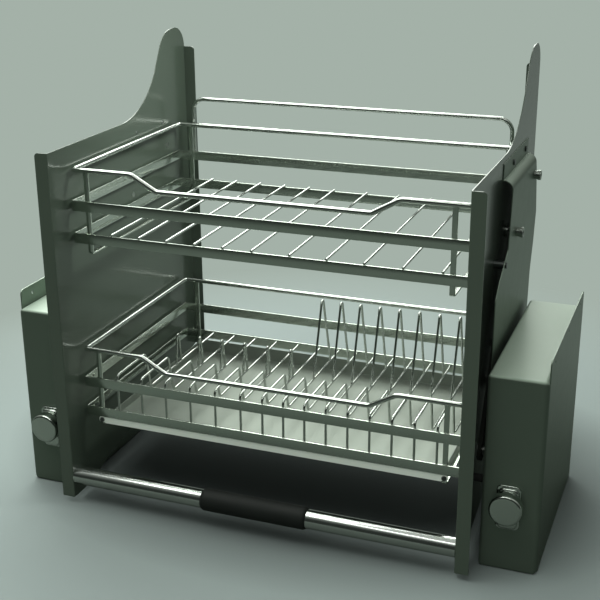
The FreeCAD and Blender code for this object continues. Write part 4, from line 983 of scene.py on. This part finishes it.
def plaque_ring(build, x, along, inset, corner):
    """Round-cornered outline: inset from the plaque's edge, at that place along y."""
    straight_x, straight_z = (half - inset - corner for half in PLAQUE_HALF)
    ring = []
    for quarter, (across, up) in enumerate(((1, 1), (-1, 1), (-1, -1), (1, -1))):
        for step in range(CORNER_STEPS + 1):
            angle = math.pi / 2 * (quarter + step / CORNER_STEPS)
            spot_x = x + across * straight_x + corner * math.cos(angle)
            spot_z = PLAQUE_MIDDLE + up * straight_z + corner * math.sin(angle)
            ring.append(build.verts.new(at(spot_x, along, spot_z)))
    return ring


def hole_ring(build, x, along):
    """Edge of the neck's hole, with as many points as the outline has."""
    ring = []
    for quarter in range(4):
        for step in range(CORNER_STEPS + 1):
            angle = math.pi / 2 * (quarter + 0.05 + 0.9 * step / CORNER_STEPS)
            spot_x = x + PLAQUE_HOLE * math.cos(angle)
            spot_z = KNOB_HEIGHT + PLAQUE_HOLE * math.sin(angle)
            ring.append(build.verts.new(at(spot_x, along, spot_z)))
    return ring


def rim_rings(build, x, face, inset, radius):
    """Rings of a rounded front edge, from its foot forward to its face."""
    rings = []
    for step in range(RIM_STEPS + 1):
        angle = math.pi / 2 * step / RIM_STEPS
        cut = radius * (1 - math.cos(angle))
        along = face + radius * (1 - math.sin(angle))
        rings.append(plaque_ring(build, x, along, inset + cut, PLAQUE_CORNER - cut))
    return rings


build = bmesh.new()
for x in (-WORKS_X, WORKS_X):
    rings = [plaque_ring(build, x, PLAQUE_BACK, 0.0, PLAQUE_CORNER)]
    rings += rim_rings(build, x, PLAQUE_FACE, 0.0, PLAQUE_ROUND)
    rings += rim_rings(build, x, BOSS_FACE, BOSS_INSET, BOSS_ROUND)
    rings += [hole_ring(build, x, BOSS_FACE), hole_ring(build, x, PLAQUE_BACK)]
    for first, second in zip(rings, rings[1:] + rings[:1]):
        skin(build, first, second)
hand_over("cast_plaques", mesh_of("cast_plaques", build), "knob_plaques", angle=50)
print("plaques made")

# %% [markdown]
# Inside the boxes the springs are real coils, and the adjusting screws have a thread. They are
# hidden in the photograph, but a viewer who opens a box finds them.

# %% Springs and threads
SPRING_APART = 19.0
SPRING_START = 94.6
SPRING_END = 302.4
SPRING_RADIUS = 8.2
SPRING_WIRE = 1.8
SPRING_TURNS = 48
ROD_START = 32.3
ROD_END = 171.5
ROD_RADIUS = 4.0
THREAD_START = 26.0
THREAD_END = 140.0
THREAD_PITCH = 2.4
THREAD_DEEP = 0.9
CREST_END = 0.9
ROOT_START = 1.4
ROOT_END = 1.9
COLLAR = [(21.0, 4.2), (21.0, 7.0), (23.0, 7.0), (23.0, 4.2)]


def coil(build, start, end, x, z, radius, wire, turns, steps=14):
    """Close tension spring between two places along y."""
    path = []
    for step in range(int(turns * steps) + 1):
        angle = 2 * math.pi * step / steps
        along = start + (end - start) * step / (turns * steps)
        path.append(at(x + radius * math.cos(angle), along, z + radius * math.sin(angle)))
    sweep(build, path, round_section(wire, 8), Z_AXIS)


def threaded_profile():
    """Profile of the rod: a crest and a groove in turn, with plain ends."""
    profile = [(0, 0.01), (0, ROD_RADIUS - 0.6)]
    along = 1.0
    while along < ROD_END - 1.5:
        deep = THREAD_DEEP if THREAD_START < along < THREAD_END else 0.0
        root = ROD_RADIUS - deep
        profile += [(along, ROD_RADIUS), (along + CREST_END, ROD_RADIUS)]
        profile += [(along + ROOT_START, root), (along + ROOT_END, root)]
        along += THREAD_PITCH
    return profile + [(ROD_END, ROD_RADIUS - 0.4), (ROD_END, 0.01)]


for side, sign in (("right", 1), ("left", -1)):
    build = bmesh.new()
    for x in (WORKS_X - SPRING_APART, WORKS_X + SPRING_APART):
        ends = (SPRING_START, SPRING_END)
        coil(build, *ends, x * sign, KNOB_HEIGHT, SPRING_RADIUS, SPRING_WIRE, SPRING_TURNS)
    hand_over(side + "_tension_springs", mesh_of("springs", build), side + "_springs", angle=60)
    build = bmesh.new()
    rod_start = at(WORKS_X * sign, ROD_START, KNOB_HEIGHT)
    spin(build, threaded_profile(), rod_start, Y_AXIS, X_AXIS, sides=24)
    spin(build, eased(COLLAR, 0.3), rod_start, Y_AXIS, X_AXIS, sides=32)
    hand_over(side + "_threaded_rod", mesh_of("rod", build), side + "_adjusting_screw")
print("springs and threads made")

# %% [markdown]
# The drip tray and the small bushes in the arms' eyes are the last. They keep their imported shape,
# apart from soft edges.

# %% Drip tray and bushes
hand_over("drip_tray_finished", soft_edged("drip_tray", 0.25), "drip_tray", angle=50, weighted=True)
for side in ("right", "left"):
    for which in ("front", "rear"):
        node = "%s_%s_eye_bush" % (side, which)
        hand_over(node + "_finished", soft_edged(node, 0.2), node, angle=50, weighted=True)
rendered = [node for node, piece in nodes.items() if not piece.hide_render]
left_over = [node for node in rendered if not nodes[node].hide_get()]
print("nodes still shown as packed:", left_over)

# %% [markdown]
# The stage is a pale floor that melts into an even background. Near the rack it is an ordinary
# matt surface, so it takes the shadow, and its colour is painted darker towards the rack as painted
# shadow; further out it turns into plain background colour, so there is no horizon. Lamps, bounced
# light and mirrors meet the floor in a dark painted shade, with a paler share behind the rack for
# mirrors: in front of the rack that is what draws a wire as a bright line with a dark one.

# %% Stage
PALE = (0.371, 0.440, 0.391)
LIT = (0.371, 0.423, 0.424)
# Dark painted shade of the floor, seen by every ray but the camera's: mirrors and bounced light.
SHADED = (0.085, 0.100, 0.090)
UNDER = (0.0, 0.10, 0.0)
NARROWING = (0.76, 1, 1)
FADE_OUT = (0.62, 1.02)
SHADOW_EDGE = (0.26, 0.46)
BEHIND_RACK = (0.25, 0.70)
FLOOR_HALF = 6.0

floor_finish = Finish("studio_floor")
camera_ray = floor_finish.add("ShaderNodeLightPath", {}, [], "Is Camera Ray")
glossy_ray = floor_finish.add("ShaderNodeLightPath", {}, [], "Is Glossy Ray")
depth = floor_finish.axis(floor_finish.place, "Y")
distance = {"operation": "DISTANCE"}
reach = floor_finish.add("ShaderNodeVectorMath", distance, [floor_finish.place, UNDER], "Value")
far_off = floor_finish.ramp(reach, *FADE_OUT)
squeeze = {"operation": "MULTIPLY"}
narrowed = [floor_finish.place, NARROWING]
narrow = floor_finish.add("ShaderNodeVectorMath", squeeze, narrowed, "Vector")
near = floor_finish.add("ShaderNodeVectorMath", distance, [narrow, UNDER], "Value")
spread = floor_finish.ramp(near, *SHADOW_EDGE)
behind = floor_finish.ramp(depth, *BEHIND_RACK)
# Painted shadow: the floor's colour darkens from 0.8 to 0.25 of LIT towards the spot under the rack.
floor_with_painted_shadow = floor_finish.blend(spread, shade(LIT, 0.25), shade(LIT, 0.80))
tone = floor_finish.mix(camera_ray, (*SHADED, 1), floor_with_painted_shadow)
floor_finish.set(Base_Color=tone, Roughness=0.85)
floor_finish.shader.inputs["Specular IOR Level"].default_value = 0.1
even_tone = {"Color": (*PALE, 1), "Strength": 1.0}
plain = floor_finish.add("ShaderNodeEmission", {}, even_tone, "Emission")
matt = Field(floor_finish, floor_finish.shader.outputs["BSDF"])
share = camera_ray * far_off + glossy_ray * behind * 0.6
mixed = floor_finish.add("ShaderNodeMixShader", {}, [share, matt, plain], "Shader")
surface = floor_finish.tree.nodes["Material Output"].inputs["Surface"]
floor_finish.tree.links.new(mixed.socket, surface)

build = bmesh.new()
signs = [(-1, -1), (1, -1), (1, 1), (-1, 1)]
build.faces.new([build.verts.new((x * FLOOR_HALF, y * FLOOR_HALF, 0)) for x, y in signs])
floor = bpy.data.objects.new("studio_floor", mesh_of("studio_floor", build))
floor.data.materials.append(floor_finish.material)
bpy.context.scene.collection.objects.link(floor)
print("stage made")

# %% [markdown]
# The light comes from above and behind, through one wide soft box, with a weaker one overhead. A
# long faint strip high in front, with a thin bright one in its middle, draws the lines along rails,
# pull bar and knobs. Two soft lamps light the fronts, and no mirror shows them. A small lamp
# between the panels lifts the left one's wing out of the dark. Where the camera looks past the
# floor, it sees the background colour. Light and mirrors see a room that is bright overhead and
# behind, and dark beside the camera.

# %% Lamps and world


def lamp(name, place, aim, size, power):
    """Rectangular lamp, places in metres and power in watts, that the camera doesn't see."""
    light = bpy.data.lights.new(name, "AREA")
    light.color = (0.94, 1.0, 0.93)
    light.shape = "RECTANGLE"
    light.size, light.size_y = size
    light.energy = power
    piece = bpy.data.objects.new(name, light)
    piece.location = place
    piece.rotation_euler = (Vector(aim) - Vector(place)).to_track_quat("-Z", "Y").to_euler()
    piece.visible_camera = False
    bpy.context.scene.collection.objects.link(piece)
    return piece


STRIP_PLACE = (-0.5, -1.2, 2.3)
STRIP_AIM = (-0.1, -0.1, 0.2)
STRIP_SIZE = (2.8, 0.8)
LINE_PLACE = (-0.3, -1.15, 2.35)
lamp("rear_box", (-0.9, 1.6, 1.7), (0, 0, 0.35), (2.6, 1.2), power=54)
lamp("overhead_box", (-0.7, 0.2, 2.3), (0, 0, 0.3), (2.4, 1.2), power=23)
lamp("front_strip", STRIP_PLACE, STRIP_AIM, STRIP_SIZE, power=3)
lamp("front_line", LINE_PLACE, STRIP_AIM, (3.0, 0.2), power=6)
front_soft = lamp("front_soft", STRIP_PLACE, STRIP_AIM, STRIP_SIZE, power=17)
front_soft.visible_glossy = False
front_fill = lamp("front_fill", (0.4, -2.2, 0.9), (0.1, 0, 0.3), (1.6, 0.8), power=13)
front_fill.visible_glossy = False
wing_light = lamp("wing_light", (0.25, 0.1, 1.25), (-0.33, 0.05, 0.62), (0.3, 0.3), power=1.0)
wing_light.data.spread = math.radians(50)

world = bpy.data.worlds.new("studio")
bpy.context.scene.world = world
world.use_nodes = True
room = world.node_tree


def room_node(kind, links, **settings):
    """Adds a node to the world: its settings, then its inputs as links or values."""
    node = room.nodes.new(kind)
    for key, value in settings.items():
        setattr(node, key, value)
    for key, value in links.items():
        if hasattr(value, "is_output"):
            room.links.new(value, node.inputs[key])
        else:
            node.inputs[key].default_value = value
    return node


BRIGHTEST_WAY = (-0.1, 0.45, 0.85)
ROOM_STOPS = [
    (0.05, (0.022, 0.027, 0.023)),
    (0.35, (0.11, 0.125, 0.11)),
    (0.8, (0.42, 0.45, 0.41)),
]
sight = room_node("ShaderNodeTexCoord", {})
directions = {0: sight.outputs["Generated"], 1: BRIGHTEST_WAY}
slope = room_node("ShaderNodeVectorMath", directions, operation="DOT_PRODUCT")
glow = room_node("ShaderNodeValToRGB", {"Fac": slope.outputs["Value"]})
Finish.set_ramp(glow.color_ramp, ROOM_STOPS)
path = room_node("ShaderNodeLightPath", {})
choice = {0: path.outputs["Is Camera Ray"], 6: glow.outputs["Color"], 7: (*PALE, 1)}
shown = room_node("ShaderNodeMix", choice, data_type="RGBA")
room.links.new(shown.outputs[2], room.nodes["Background"].inputs["Color"])
room.nodes["Background"].inputs["Strength"].default_value = 1.0
bpy.context.scene.view_settings.view_transform = "Standard"
print("lamps made")

# %% [markdown]

print("scene built")
